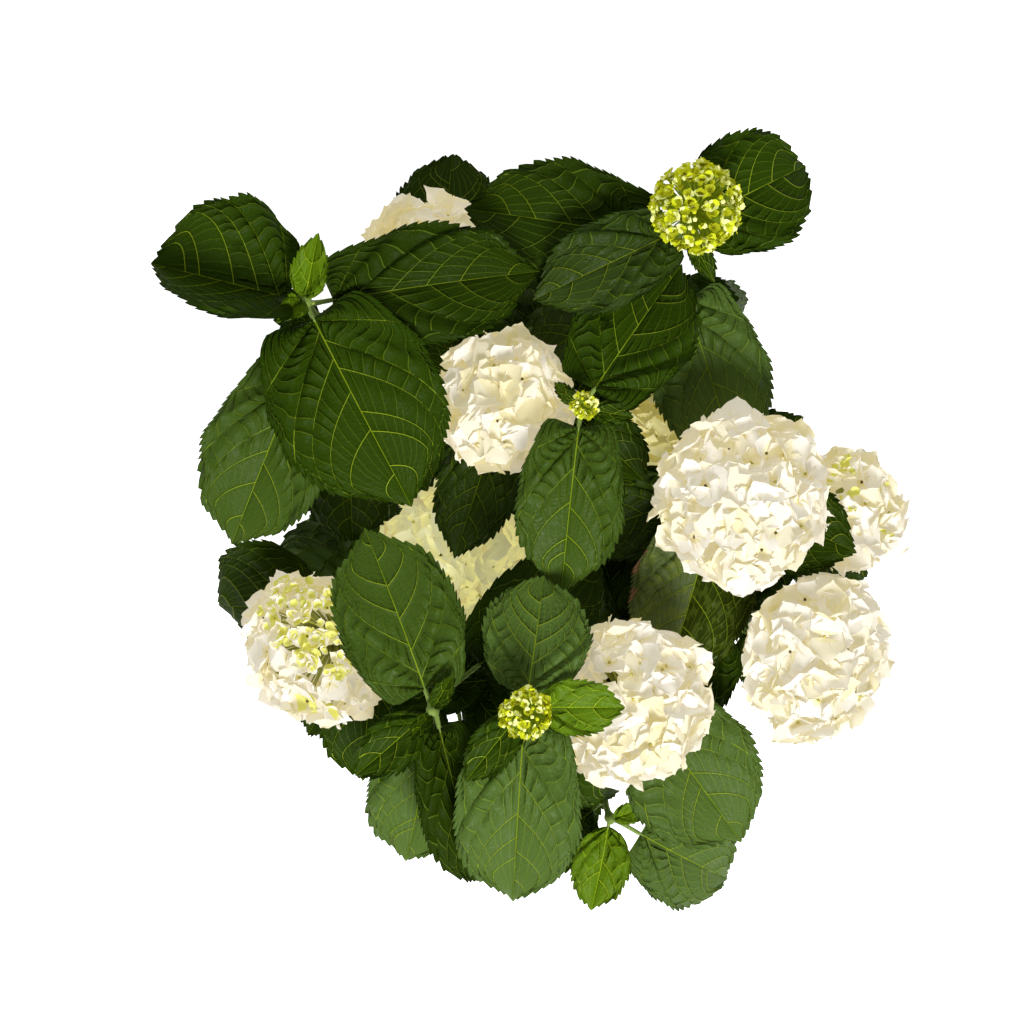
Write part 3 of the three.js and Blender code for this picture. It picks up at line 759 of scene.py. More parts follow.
def add_finish(material, shader, group, values, taken):
    """Gives a material a shader group: the group's inputs, and which of its outputs the shader takes."""
    tree = material.node_tree
    finish = add_node(tree, "ShaderNodeGroup", node_tree=group)
    for label, value in values.items():
        finish.inputs[label].default_value = value
    for label in taken:
        tree.links.new(finish.outputs[label], shader.inputs["Base Color" if label == "Colour" else label])
    return material


LEAF_GLOSS, UNDERSIDE_GLOSS, UNDER_VEIN_GLOSS = (0.36, 0.55), (0.6, 0.75), (0.55, 0.65)
LEAF_SHINE = 0.07


def leaf_material(name, colour, gloss=LEAF_GLOSS, depth=0.28, pillow=0.9, specular=LEAF_SHINE):
    material, shader = new_material(name, colour, specular=specular)
    values = {"Depth": depth, "Pillow": pillow, "Gloss low": gloss[0], "Gloss high": gloss[1]}
    veins = group_named("Fine veins", fine_vein_group)
    return add_finish(material, shader, veins, values, ["Roughness", "Normal"])


GLOW_TINT_POWERS = (1.0, 1.15, 1.7)  # how the painted glow of a petal loses each colour, as a power, standing in for the light through it
BUD_GLOW = 0.28


def petal_material(name, colour, glow=BUD_GLOW):
    """A thin petal, with a painted glow: a little warm light of its own that stands in for the light
    passing through it.
    """
    material, shader = new_material(name, colour, roughness=0.62, specular=0.10)
    # Painted glow: the emission lightens the petal's shaded parts, as light passing through the petal
    # would.
    shader.inputs["Emission Color"].default_value = (*map(float, np.array(colour) ** GLOW_TINT_POWERS), 1)
    shader.inputs["Emission Strength"].default_value = glow
    return add_finish(material, shader, group_named("Petal grain", petal_grain_group), {}, ["Normal"])


def bark_material(name, colour, worn, scale, depth):
    material, shader = new_material(name, colour, specular=0.35)
    values = {"Colour": (*colour, 1), "Worn": (*worn, 1), "Scale": scale, "Depth": depth}
    grain = group_named("Bark grain", bark_grain_group)
    return add_finish(material, shader, grain, values, ["Colour", "Roughness", "Normal"])


def ride_and_stand_for(piece, nodes):
    """Lets a finished piece ride on the shrub's one body and stand for its CAD nodes."""
    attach(piece, "root")
    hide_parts(*nodes)


# ---------------------------------------------------------------- old wood and canes
BOUGH_DEPTH, CANE_DEPTH = 3, 2.5  # how far a limb's foot runs into the knuckle that bears it
TRUNK_ROWS, TRUNK_SIDES = 40, 64
BOUGH_ROWS, BOUGH_SIDES = 46, 34
CANE_ROWS, CANE_SIDES = 44, 16
TRUNK_GROUND = 0.1716  # the parameter at which the trunk's curve passes the ground
TRUNK_FIBRE, BOUGH_FIBRE, CANE_FIBRE = 1.5, 1.1, 0.8  # how finely the bark's strips stand round a limb
PLATE_PLACE = Vector((7.3, 1.1, 4.2))  # where in the noise the plates are, apart from the strips
# The scale of the bark's noise round a limb and along it, and how far its strips, plates and crumbs
# stand out, over its depth.
BARK = {"turn": 1.6, "length": 26, "strips": 2.2, "plates": 0.9, "plate_edge": 0.12,
        "crumbs": (5, 5, 7), "strip_lift": 0.55, "crumb_lift": 0.25, "plate_lift": 0.45, "sink": 0.1}
BOUGH_BARK_SHARE = 0.6  # how deep the boughs' bark is, over the stool's
WORN_BARK = (0.40, 0.29, 0.17)
CANE_BARK = (0.115, 0.125, 0.040)
CANE_RELIEF = 0.28


def bark_lift(angle, run, fibre, seed):
    """How far the bark stands out at a place, over its relief: strips, lifted plates and crumbs."""
    turn = BARK["turn"] * fibre
    around = Vector((math.cos(angle) * turn, math.sin(angle) * turn, run / BARK["length"] + seed))
    strips = noise.noise(around * BARK["strips"])
    plates = noise.noise(around * BARK["plates"] + PLATE_PLACE)
    crumbs = noise.noise(around * Vector(BARK["crumbs"]))
    plate = BARK["plate_lift"] if plates > BARK["plate_edge"] else 0
    return BARK["strip_lift"] * strips + BARK["crumb_lift"] * crumbs + plate - BARK["sink"]


def run_along(path):
    """How far each point of a path is from its start, along it."""
    return np.concatenate([[0], np.cumsum(lengths(np.diff(path, axis=0)))])


def bark_limb(path, radii, sides, relief, lobe_at=None, fibre=1.0, seed=0.0):
    """A bmesh of one limb: a cylinder bent along a path, with strips of bark standing on it."""
    rows = len(path) - 1
    bm = bmesh.new()
    bmesh.ops.create_cone(bm, cap_ends=True, segments=sides, radius1=1, radius2=1, depth=rows)
    upright = [edge for edge in bm.edges if abs(edge.verts[0].co.z - edge.verts[1].co.z) > 0.5]
    bmesh.ops.subdivide_edges(bm, edges=upright, cuts=rows - 1, use_grid_fill=True)
    _, side, across = frames_along(path)
    run = run_along(path)
    for vert in bm.verts:
        row = round(vert.co.z + rows / 2)
        angle = math.atan2(vert.co.y, vert.co.x)
        radius = radii[row] + (lobe_at(row, angle) if lobe_at else 0)
        thin = min(1, radii[row] / radii.max() * 2)
        radius += relief * bark_lift(angle, run[row], fibre, seed) * thin
        vert.co = path[row] + (side[row] * math.cos(angle) + across[row] * math.sin(angle)) * radius
    return bm


def joined_limbs(name, limbs, material, floor=False):
    """One object of several limbs, each already a bmesh in millimetres."""
    whole = bmesh.new()
    for limb in limbs:
        part = bpy.data.meshes.new("limb")
        limb.to_mesh(part)
        limb.free()
        whole.from_mesh(part)
        bpy.data.meshes.remove(part)
    if floor:
        for vert in whole.verts:
            vert.co.z = max(vert.co.z, 0)
    bmesh.ops.scale(whole, vec=(MM, MM, MM), verts=whole.verts)
    bmesh.ops.recalc_face_normals(whole, faces=whole.faces)
    mesh = bpy.data.meshes.new(name)
    whole.to_mesh(mesh)
    whole.free()
    mesh.polygons.foreach_set("use_smooth", np.ones(len(mesh.polygons), bool))
    mesh.materials.append(material)
    return new_object(name, mesh)


def knuckled(path, radii, middle, knuckle):
    """Radii along a path that swells into a round knuckle about a point."""
    far = lengths(path - middle)[:, 0]
    ball = np.sqrt(np.maximum(knuckle ** 2 - far ** 2, 0.04))
    past = np.arange(len(path)) > np.argmin(far)
    return np.where(past, ball, np.maximum(radii, ball))


def past_knuckle(points, first, count, knuckle):
    """A path along a curve and on through the far side of its knuckle, from a first parameter."""
    path, tangents = bezier(points, np.linspace(first, 1, count))
    step = np.linspace(0, knuckle * 0.995, max(4, round(count * 0.2)))[1:]
    return np.concatenate([path, path[-1] + tangents[-1] * step[:, None]])


def trunk_limb(relief):
    foot = np.array([0, 0, -TRUNK["height"] / 4])
    points = [foot, np.array([0, 0, TRUNK["height"] / 2]), FORK]
    path = past_knuckle(points, TRUNK_GROUND, TRUNK_ROWS, TRUNK["knuckle"])
    share = np.ones(len(path))
    share[:TRUNK_ROWS] = np.linspace(TRUNK_GROUND, 1, TRUNK_ROWS)
    flare = np.maximum(0, 1 - share / TRUNK["flare_share"]) ** 2
    radii = knuckled(path, lerp(TRUNK["waist"], TRUNK["foot"], flare), FORK, TRUNK["knuckle"])

    def lobe_at(row, angle):
        return flare[row] * TRUNK["lobe_depth"] * math.cos(TRUNK["lobes"] * angle)

    return bark_limb(path, radii, TRUNK_SIDES, relief, lobe_at, fibre=TRUNK_FIBRE)


def bough_limb(name, seed, relief):
    knuckle = bough_knuckle(name)
    path = past_knuckle(bough_points(name), 0, BOUGH_ROWS, BOUGH["knuckle"])
    path[0] -= unit(path[1] - path[0]) * BOUGH_DEPTH
    share = np.minimum(1, np.arange(len(path)) / (BOUGH_ROWS - 1))
    radii = knuckled(path, lerp(BOUGH["foot"], BOUGH["tip"], share), knuckle, BOUGH["knuckle"])
    return bark_limb(path, radii, BOUGH_SIDES, relief, fibre=BOUGH_FIBRE, seed=seed)


class HYDRANGEA_OT_old_wood(bpy.types.Operator):
    """Grow the stool and the old boughs with their peeling bark"""

    bl_idname = "hydrangea.old_wood"
    bl_label = "Old wood"

    def execute(self, context):
        wood = context.scene.hydrangea_wood
        relief = wood.bark_depth / MM
        limbs = [trunk_limb(relief)]
        for i, name in enumerate(BOUGH_NAMES):
            limbs.append(bough_limb(name, 11.0 * i, relief * BOUGH_BARK_SHARE))
        bark = bark_material("old_bark", tuple(wood.old_wood), WORN_BARK, 260, 0.8)
        piece = joined_limbs("old_wood", limbs, bark, floor=True)
        ride_and_stand_for(piece, ["trunk"] + ["bough_" + name for name in BOUGH_NAMES])
        return {"FINISHED"}


CANE_FOOT_SWELL = 1.25
# The rings where a cane's old leaves stood.
CANE_RING = {"first": (16, 6), "step": 34, "swell": 0.55, "width": 1.8}


def cane_limb(shoot, number):
    path, _ = bezier(shoot_points(shoot), np.linspace(0, MASS["start"], CANE_ROWS))
    path[0] -= unit(path[1] - path[0]) * CANE_DEPTH
    radii = np.linspace(CANE["foot"], CANE["tip"], CANE_ROWS)
    run = run_along(path)
    first = strayed(CANE_RING["first"], number)
    for ring in np.arange(first, run[-1], CANE_RING["step"]):
        radii += CANE_RING["swell"] * np.exp(-(((run - ring) / CANE_RING["width"]) ** 2))
    radii[0] *= CANE_FOOT_SWELL
    return bark_limb(path, radii, CANE_SIDES, CANE_RELIEF, fibre=CANE_FIBRE, seed=5.0 * number)


class HYDRANGEA_OT_canes(bpy.types.Operator):
    """Grow the canes that stand on the boughs' knuckles"""

    bl_idname = "hydrangea.canes"
    bl_label = "Canes"

    def execute(self, context):
        wood = context.scene.hydrangea_wood
        green = tuple(wood.green_cane)
        bark = bark_material("cane_bark", CANE_BARK, green, 420, 0.35)
        piece = joined_limbs("canes", [cane_limb(s, i) for i, s in enumerate(SHOOTS)], bark)
        ride_and_stand_for(piece, ["cane_" + shoot.name for shoot in SHOOTS])
        return {"FINISHED"}


# ---------------------------------------------------------------- leaves
LAG_NEAR, LAG_POWER = 0.05, 6.5  # where on the midrib a side vein starts, for where it ends
MARGIN = np.linspace(0, 1, 400)
MIDRIB_OF_MARGIN = LAG_NEAR * MARGIN + (1 - LAG_NEAR) * MARGIN ** LAG_POWER
UNDER_COLUMNS = np.array([0, 0.16, 0.36, 0.56, 0.76, 0.92])
# The kinds of rows across a blade: three to a tooth, and the two edges of a side vein.
VALLEY, RISE, PEAK, VEIN_LOW, VEIN_HIGH = range(5)
TOOTH_AT = {RISE: 0.40, PEAK: 0.78}  # where along a tooth it has risen most of the way, and its point
AFTER_VEIN = 0.12  # the first row after a side vein, as a share of a tooth
TOOTH_OUT = np.array([-0.45, 0.55, 1.0, 1.0, 1.0])  # how far each kind of row stands out, over the depth
TINTS = ("deep", "mid", "bluish", "olive", "pale", "fresh", "aged", "aged_painted_shade", "aged_yellow",
         "aged_yellow_painted_shade", "bruised")
TINT_SLOT = {name: i for i, name in enumerate(TINTS)}
(DEEP_VEIN, PALE_VEIN, YOUNG_VEIN, DEEP_NET, PALE_NET, YOUNG_NET, UNDER_SLOT,
 UNDER_VEIN) = range(len(TINTS), len(TINTS) + 8)
# The materials of the veins and of the finer net, for a blade of each tint.
VEIN_SLOTS = {
    "deep": (DEEP_VEIN, DEEP_NET),
    "bluish": (DEEP_VEIN, DEEP_NET),
    "mid": (PALE_VEIN, DEEP_NET),
    "olive": (PALE_VEIN, DEEP_NET),
    "aged": (PALE_VEIN, DEEP_NET),
    "pale": (PALE_VEIN, PALE_NET),
    "fresh": (YOUNG_VEIN, YOUNG_NET),
}
# Where the side veins leave the midrib, for blades longer than each length.
VEIN_STARTS = (
    (60, (0.010, 0.085, 0.26, 0.45, 0.63, 0.79)),
    (SMALL_LEAF, (0.012, 0.13, 0.36, 0.60)),
    (0, (0.02, 0.22, 0.52)),
)
# Rungs of the net on each half, for blades wider than each width.
RUNGS = ((80, 9), (56, 7), (40, 5), (0, 3))
COARSE_RUNGS = ((40, 4), (0, 2))
AGED_RUNGS = 4  # how many more an ageing blade has
DEEP_TEETH, AGED_TEETH = 1.4, 0.6  # how wide the teeth of deep and of ageing blades are, over the usual
VEIN_STRAY, VEIN_SHIFT = 0.10, 0.022  # how far a side vein strays, and the halves' veins stand apart
TOOTH_BAND = 0.86  # the share of a half's width where its teeth begin
BARE_BASE, BARE_TIP = 0.10, 0.05  # the stretches of the margin over which the teeth fade
UNEVEN = ((0.020, 15), (0.014, 31))  # how far a margin strays slowly along its length, and how often
WAVES = (2.4, 0.8)  # how many waves a margin has
BROAD = {"from": 55, "over": 40}  # a blade's length from which its shoulders broaden, and over what more
TOOTH_SIDEWAYS = 0.75  # how far a tooth stands out sideways, over how far it points along the blade
PAST_BASE, PAST_TIP = 0.08, 1.5  # how far a margin may run back past its base and on past its tip
ARCHED = 0.35  # how much flatter a folded half lies at its margin than at the midrib
CURL = 1.2  # how far a blade's margin curls slowly along its length, in millimetres
SWAY = 0.035  # how far a tip may stand beside its leaf's heading, over the blade's length
TIP = {"start": 0.78, "power": 1.25}  # where the blade's drawn-out tip begins, and how fast it narrows
FLOW = {"share": 0.60, "power": 2.5}  # how a row of the blade swings from the midrib to the margin
# The broad shoulders of a large blade: how square they are and where they end, and how far its base
# runs back beside the stalk, over what stretch of the margin.
SHOULDER = {"power": 0.50, "end": 0.42, "back": 0.26, "near": 0.11}
# A blade swells fully where its side veins stand this far apart, and nearer the midrib than the margin.
QUILT = {"full_span": 18, "skew": 0.7}
# The net's rungs: half their breadth, where the first one lies and the room at the margin, both in
# cells, how they slant from vein to vein and the most they may, and how far they stray.
NET = {"line": 0.16, "first": 0.75, "room": 0.55, "climb": 0.5, "steepest": 0.5, "stray": 0.22}
# The net's cells: how far each is lifted, and over which breadths its lift and pillow come in.
CELL = {"lift": 0.8, "calm": 2.0, "calm_from": 0.45}
# The side veins' narrowing to the margin, how much wider they are below and the most they may take of
# the margin, and how far they stand out above and below.
SIDE_VEIN = {"taper": 0.75, "under": 1.5, "most": 0.016, "raised": 0.30, "under_raised": 0.7}
# Half the midrib's width and its narrowing, its width below over that above, its groove and its keel.
RIB = {"half": 0.44, "taper": 0.70, "under": 1.8, "groove": 0.3, "keel": 1.1}


def vein_places(one, seed, side):
    """Where the side veins of one half end on the margin, from base to tip."""
    starts = next(starts for length, starts in VEIN_STARTS if one.length > length)
    shifted = [start * strayed((1, VEIN_STRAY), seed + 3.7 * side + k) + VEIN_SHIFT * side * (k > 0)
               for k, start in enumerate(starts)]
    return np.interp(shifted, MIDRIB_OF_MARGIN, MARGIN)


def blade_rows(one, seed, side, tooth):
    """The rows of one half: places on the margin, kinds, shares of the way from one side vein to the
    next, the numbers of these spans, and their widths."""
    nominal = vein_places(one, seed, 0)
    ends = vein_places(one, seed, side)
    places, kinds, shares, spans = [0.0], [VALLEY], [0.0], [0]
    last_nominal, last = 0.0, 0.0
    for k in range(len(ends) + 1):
        stop_nominal, stop = (nominal[k], ends[k]) if k < len(ends) else (1.0, 1.0)
        teeth = max(1, round((stop_nominal - last_nominal) * one.length / tooth))
        steps = []
        for number in range(teeth):
            steps += [(VALLEY, number or AFTER_VEIN), (RISE, number + TOOTH_AT[RISE]),
                      (PEAK, number + TOOTH_AT[PEAK])]
        steps.pop()  # the span's end stands in for its last point
        inner = np.array([at for _, at in steps]) / (teeth - 1 + TOOTH_AT[PEAK])
        places += list(lerp(last, stop, inner))
        kinds += [kind for kind, _ in steps]
        shares += list(inner)
        spans += [k] * len(inner)
        if k < len(ends):
            places += [stop, stop]
            kinds += [VEIN_LOW, VEIN_HIGH]
            shares += [1.0, 0.0]
            spans += [k, k + 1]
        last_nominal, last = stop_nominal, stop
    widths = np.diff(np.concatenate([[0.0], ends, [1.0]]))
    spans = np.array(spans + [len(ends)])
    rows = (np.array(column) for column in (places + [1.0], kinds + [VALLEY], shares + [1.0]))
    return (*rows, spans, widths[spans])


def blade_size(one):
    """How large a blade's veins, quilting and waves are, over a full-grown one's."""
    return min(1.0, 0.35 + one.length / 110)


def tooth_of(grown, style):
    """The tooth spacing of a blade, finer on a small one and coarser deep in the crown."""
    size = min(1.0, 0.5 + grown.leaf.length / 220)
    coarse = 1.0 if grown.fine else DEEP_TEETH
    aged = AGED_TEETH if grown.leaf.tint == "aged" else 1.0
    return style["tooth"] * size * coarse * aged


def net_columns(grown):
    """Columns of one half from midrib to margin, and for each its rung's number, its rise in its cell
    of the net, and its place across that cell."""
    one = grown.leaf
    rungs = next(count for width, count in (RUNGS if grown.fine else COARSE_RUNGS) if one.width > width)
    rungs += AGED_RUNGS * (one.tint == "aged")
    line = NET["line"] / (one.width / 2)
    columns, owners, cells, within = [0.0], [0], [0.0], [0.0]
    last = 0.0
    for rung in range(rungs):
        at = (rung + NET["first"]) / (rungs + NET["room"])
        columns += [(last + at) / 2, at - line, at + line]
        owners += [rung, rung + 1, rung + 1]
        cells += [1.0, 0.0, 0.0]
        within += [0.5, 1.0, 0.0]
        last = at
    columns += [(last + 1) / 2, 1.0]
    owners += [rungs, 0]
    cells += [1.0, 0.0]
    within += [0.5, 1.0]
    return [np.array(values) for values in (columns, owners, cells, within)]


def under_columns(grown):
    """The fewer columns of the underside, which has no net."""
    columns = UNDER_COLUMNS if grown.fine else UNDER_COLUMNS[[0, 2, 4]]
    return columns, columns * 0, columns * 0, columns * 0


def bent_net(one, seed, columns, owners, shares, spans, widths):
    """The columns of each row, with rungs that stray, bend and slant between each two side veins."""
    pitch = 1 / (owners.max() + 1)
    own = 31.7 * spans[:, None] + 5.3 * owners + seed
    shift = 2 * np.modf(np.sin(own * 12.9898) * 437.585 + 500)[0] - 1
    bow = np.sin(math.pi * shares)[:, None] * (0.5 + 0.5 * shift)
    climb = one.length * NET["climb"]
    slant = climb * widths[:, None] * one.length / ((one.width / 2) ** 2 + climb ** 2)
    slant = np.minimum(slant, NET["steepest"]) * (0.5 - shares[:, None])
    weight = np.sin(math.pi * np.minimum(columns, 1))
    return columns + weight * (slant + pitch * NET["stray"] * (shift + bow))


def half_blade(grown, seed, side, style, under):
    """Width, reach and lift of one half of a blade, row by row in millimetres, and its UV places."""
    one = grown.leaf
    margin, kinds, shares, spans, widths = blade_rows(one, seed, side, tooth_of(grown, style))
    columns, owners, cells, within = under_columns(grown) if under else net_columns(grown)
    size = blade_size(one)
    half = one.width / 2
    is_vein = ((kinds == VEIN_LOW) | (kinds == VEIN_HIGH))[:, None]
    at = np.repeat(margin[:, None], len(columns), 1)
    across = np.repeat(columns[None], len(margin), 0)
    if not under:
        across = bent_net(one, 97 * side + seed, columns, owners, shares, spans, widths)
    # A side vein is the strip between its low row and its high one, pushed apart.
    slope = LAG_NEAR + (1 - LAG_NEAR) * LAG_POWER * at ** (LAG_POWER - 1)
    stretch = one.length * lerp(slope, 1.0, across)
    half_vein = style["vein"] * size * (1 - SIDE_VEIN["taper"] * across) / 2
    half_vein *= SIDE_VEIN["under"] if under else 1.0
    push = np.minimum(half_vein / stretch, SIDE_VEIN["most"])
    at = at + push * ((kinds == VEIN_HIGH) * 1 - (kinds == VEIN_LOW) * 1)[:, None]
    start = np.interp(at, MARGIN, MIDRIB_OF_MARGIN)
    flow = FLOW["share"] * across + (1 - FLOW["share"]) * across ** FLOW["power"]
    along = lerp(start, at, flow)
    # The outline, with broad shoulders on the larger blades, and teeth on its last stretch.
    rib = RIB["half"] * size * (1 - RIB["taper"] * start) * (RIB["under"] if under else 1.0)
    uneven = sum(reach * np.sin(often * margin + 9 * jitter(seed + turn))
                 for (reach, often), turn in zip(UNEVEN, (side, -side)))
    breadth = float(np.clip((one.length - BROAD["from"]) / BROAD["over"], 0, 1))
    reach = drawn_outline(np.clip(along, 0, 1), breadth) * half * (1 + uneven)[:, None]
    wide = np.maximum(rib, reach * across + rib * (1 - across))
    near_base = np.exp(-((margin / SHOULDER["near"]) ** 2))[:, None]
    along = (along - SHOULDER["back"] * breadth * (wide / half) ** 2 * near_base) * one.length
    edge = np.clip((across - TOOTH_BAND) / (1 - TOOTH_BAND), 0, 1)
    fade = np.clip(margin / BARE_BASE, 0, 1) * np.clip((1 - margin) / BARE_TIP, 0, 1)
    tooth = TOOTH_OUT[kinds] * fade * style["tooth_depth"] * size
    wide = wide + edge * (tooth * TOOTH_SIDEWAYS)[:, None]
    along = np.clip(along + edge * tooth[:, None], -PAST_BASE * one.length, one.length + PAST_TIP)
    # The face: folded halves that arch over, quilted between their veins and waved at the edge.
    share = wide / half
    lift = wide * math.sin(math.radians(one.fold)) * (1 + ARCHED - ARCHED * np.minimum(share, 1))
    full = np.minimum(1, widths * one.length / QUILT["full_span"])
    bulge = ((1 - (2 * shares - 1) ** 2) * full)[:, None]
    lift += style["quilt"] * size * bulge * np.sin(math.pi * np.clip(across, 0, 1) ** QUILT["skew"])
    # Where the cells of the net grow narrow, towards the tip, their pillows fade.
    calm = np.clip(wide[:, -1:] / (owners.max() + 1) / CELL["calm"] - CELL["calm_from"], 0, 1)
    inward = 1 - np.clip(across, 0, 1) ** 3
    lift += CELL["lift"] * size * calm * cells * inward * np.minimum(1, 2.5 * bulge)
    phase = jitter(seed + 5.5 * side) * math.pi
    waves = strayed(WAVES, seed + 2.2)
    lift += style["wave"] * size * across ** 2 * np.sin(2 * math.pi * waves * at + phase) * fade[:, None]
    lift += CURL * size * share * np.sin(3.1 * at + 4 * jitter(seed + 8.1)) * across
    if under:
        lift -= style["thickness"] + is_vein * SIDE_VEIN["under_raised"] * size * (1 - across)
    else:
        lift += is_vein * SIDE_VEIN["raised"] * size
    places = np.stack(np.broadcast_arrays(lerp(0.5, within, calm), shares[:, None]), -1)
    return wide, along, lift, places


def drawn_outline(u, breadth):
    """The blade's outline with its broad shoulders and its drawn-out tip."""
    power = 1 - SHOULDER["power"] * breadth
    shoulder = power + (1 - power) * np.minimum(u / SHOULDER["end"], 1)
    tip = outline(TIP["start"]) * (np.clip(1 - u, 0, 1) / (1 - TIP["start"])) ** TIP["power"]
    return np.where(u < TIP["start"], outline(np.clip(u, 0, 1)) ** shoulder, tip)


def bend_blade(root, one, wide, along, lift, side, seed):
    """Lays a blade's places on its arch, with its midrib bent a little to one side."""
    along = np.minimum(along / one.length, 1.02)
    place, level, face = leaf_frame(root, one, along)
    sway = SWAY * jitter(seed + 6.6) * one.length * along ** 2
    sideways = side * wide * math.cos(math.radians(one.fold)) + sway
    return place + level * sideways[..., None] + face * lift[..., None]


def blade_slots(grown, kinds, top, quads):
    """The materials of a blade's upper faces: its tint, the net's rungs, the side veins and the midrib."""
    tint = grown.leaf.tint
    vein_slot, net_slot = VEIN_SLOTS[tint]
    columns, _, cells, _ = net_columns(grown)
    rows, across = top.shape[:2]
    strip = np.tile(np.arange(across - 1), rows - 1)
    row_of = np.repeat(np.arange(rows - 1), across - 1)
    slots = np.full(len(quads), TINT_SLOT[tint])
    if tint == "aged":
        slots = aged_slots(top, quads, strip, row_of, rows)
    is_rung = (cells[:-1] == 0) & (cells[1:] == 0) & (columns[:-1] > 0) & (columns[1:] < 1)
    in_rung = np.concatenate([is_rung[::-1], [False, False], is_rung])[strip]
    slots = np.where(in_rung, net_slot, slots)
    in_vein = (kinds[row_of] == VEIN_LOW) & (strip >= 1) & (strip <= across - 3)
    in_rib = (strip == len(columns) - 1) | (strip == len(columns))
    return np.where(in_vein | in_rib, vein_slot, slots)


def under_faces(kinds, rows, across, inner_columns):
    """Quads of the underside and their materials: its outer lanes end on the top's margins."""
    count, lanes = rows * across, inner_columns + 2
    index = np.empty((rows, lanes), int)
    index[:, 0] = np.arange(rows) * across
    index[:, -1] = np.arange(rows) * across + across - 1
    index[:, 1:-1] = count + np.arange(rows * inner_columns).reshape(rows, inner_columns)
    quads = np.stack([index[:-1, :-1], index[1:, :-1], index[1:, 1:], index[:-1, 1:]], -1).reshape(-1, 4)
    lane = np.tile(np.arange(lanes - 1), rows - 1)
    row_of = np.repeat(np.arange(rows - 1), lanes - 1)
    is_vein = (kinds[row_of] == VEIN_LOW) | (lane == lanes // 2 - 1) | (lane == lanes // 2)
    return quads, np.where(is_vein, UNDER_VEIN, UNDER_SLOT)


def add_leaf(heap, grown, seed, style):
    """One toothed, veined blade, closed by its paler underside."""
    root, one = grown.root, grown.leaf
    halves = {}
    for side in (1, -1):
        *shape, places = half_blade(grown, seed, side, style, False)
        top = bend_blade(root, one, *shape, side, seed)
        *shape, _ = half_blade(grown, seed, side, style, True)
        halves[side] = (top, bend_blade(root, one, *shape, side, seed), places)
    left, right = halves[1], halves[-1]
    kinds = blade_rows(one, seed, 1, tooth_of(grown, style))[1]
    rows = len(kinds)
    face = leaf_frame(root, one, np.linspace(0, 1, rows))[2]
    # Top: left margin to right margin, with one column down the middle of the midrib.
    middle = (left[0][:, 0] + right[0][:, 0]) / 2 - face * RIB["groove"]
    top = np.concatenate([left[0][:, ::-1], middle[:, None], right[0]], 1)
    places = np.concatenate([left[2][:, ::-1], left[2][:, :1], right[2]], 1)
    # Underside: its outer columns are the top's margins, so the blade is closed.
    keel = (left[1][:, 0] + right[1][:, 0]) / 2 - face * (RIB["keel"] * min(1, one.length / 90))
    inner = np.concatenate([left[1][:, ::-1], keel[:, None], right[1]], 1)
    quads = grid_faces(rows, top.shape[1])
    slots = blade_slots(grown, kinds, top, quads)
    below, under_slots = under_faces(kinds, rows, top.shape[1], inner.shape[1])
    points = np.concatenate([top.reshape(-1, 3), inner.reshape(-1, 3)])
    uv = np.concatenate([places.reshape(-1, 2), np.zeros((rows * inner.shape[1], 2))])
    faces = np.concatenate([quads[:, ::-1], below[:, ::-1]])
    heap.add(points, faces, np.concatenate([slots, under_slots]), uv)


MOTTLED_OVER = 0.18  # where the mottling's noise is more than this, the blade is yellowing
BRUISE = {"along": (0.26, 0.60), "over": -0.05, "strips": 5}  # where along one margin the bruise lies


def aged_slots(top, quads, strip, row_of, rows):
    """Mottled slots of an ageing blade: one half painted lighter, with painted sheen, and the other half
    in painted shade beyond its fold, yellowing patches on each, one bruised margin.
    """
    middles = top.reshape(-1, 3)[quads].mean(1)
    patches = np.array([noise.noise(Vector(middle / 6)) + 0.6 * noise.noise(Vector(middle / 2))
                        for middle in middles])
    # Lit and shaded copies: painted light and sheen on one half and painted shade on the other, whose
    # yellowing patches are a darker copy too.
    painted_lit_half = strip >= top.shape[1] // 2
    slots = np.where(painted_lit_half, TINT_SLOT["aged"], TINT_SLOT["aged_painted_shade"])
    mottled = np.where(painted_lit_half, TINT_SLOT["aged_yellow"], TINT_SLOT["aged_yellow_painted_shade"])
    slots = np.where(patches > MOTTLED_OVER, mottled, slots)
    along = row_of / rows
    start, end = BRUISE["along"]
    bruise = (along > start) & (along < end) & (patches > BRUISE["over"])
    bruise &= strip > top.shape[1] - BRUISE["strips"]
    return np.where(bruise, TINT_SLOT["bruised"], slots)


DULL = {"deep": 0.025, "mid": 0.03, "aged_painted_shade": 0.03}  # tints whose blades shine less than the rest
# The ageing blade's colours: its painted-lit half, its half in painted shade, its yellowing patches lit
# and in painted shade, and its bruise.
AGED = {
    "aged": (0.078, 0.110, 0.034),
    "aged_painted_shade": (0.018, 0.028, 0.0012),
    "aged_yellow": (0.100, 0.132, 0.026),
    "aged_yellow_painted_shade": (0.036, 0.054, 0.003),
    "bruised": (0.250, 0.130, 0.070),
}
YOUNG_VEIN_LIGHT, DEEP_VEIN_LIGHT = 1.6, 0.62  # how light the young and the deep leaves' veins are
# The finer net's colours: the blade's tint that each starts from, and how far it goes to the vein's.
NET_COLOURS = {"deep_net": ("mid", 0.22), "pale_net": ("pale", 0.35), "young_net": ("fresh", 0.3)}
UNDERSIDE = (0.085, 0.130, 0.045)
UNDERSIDE_VEIN = (0.20, 0.26, 0.09)
LEAVES_PIECE = 150000  # a piece of leaves is full when it has this many triangles


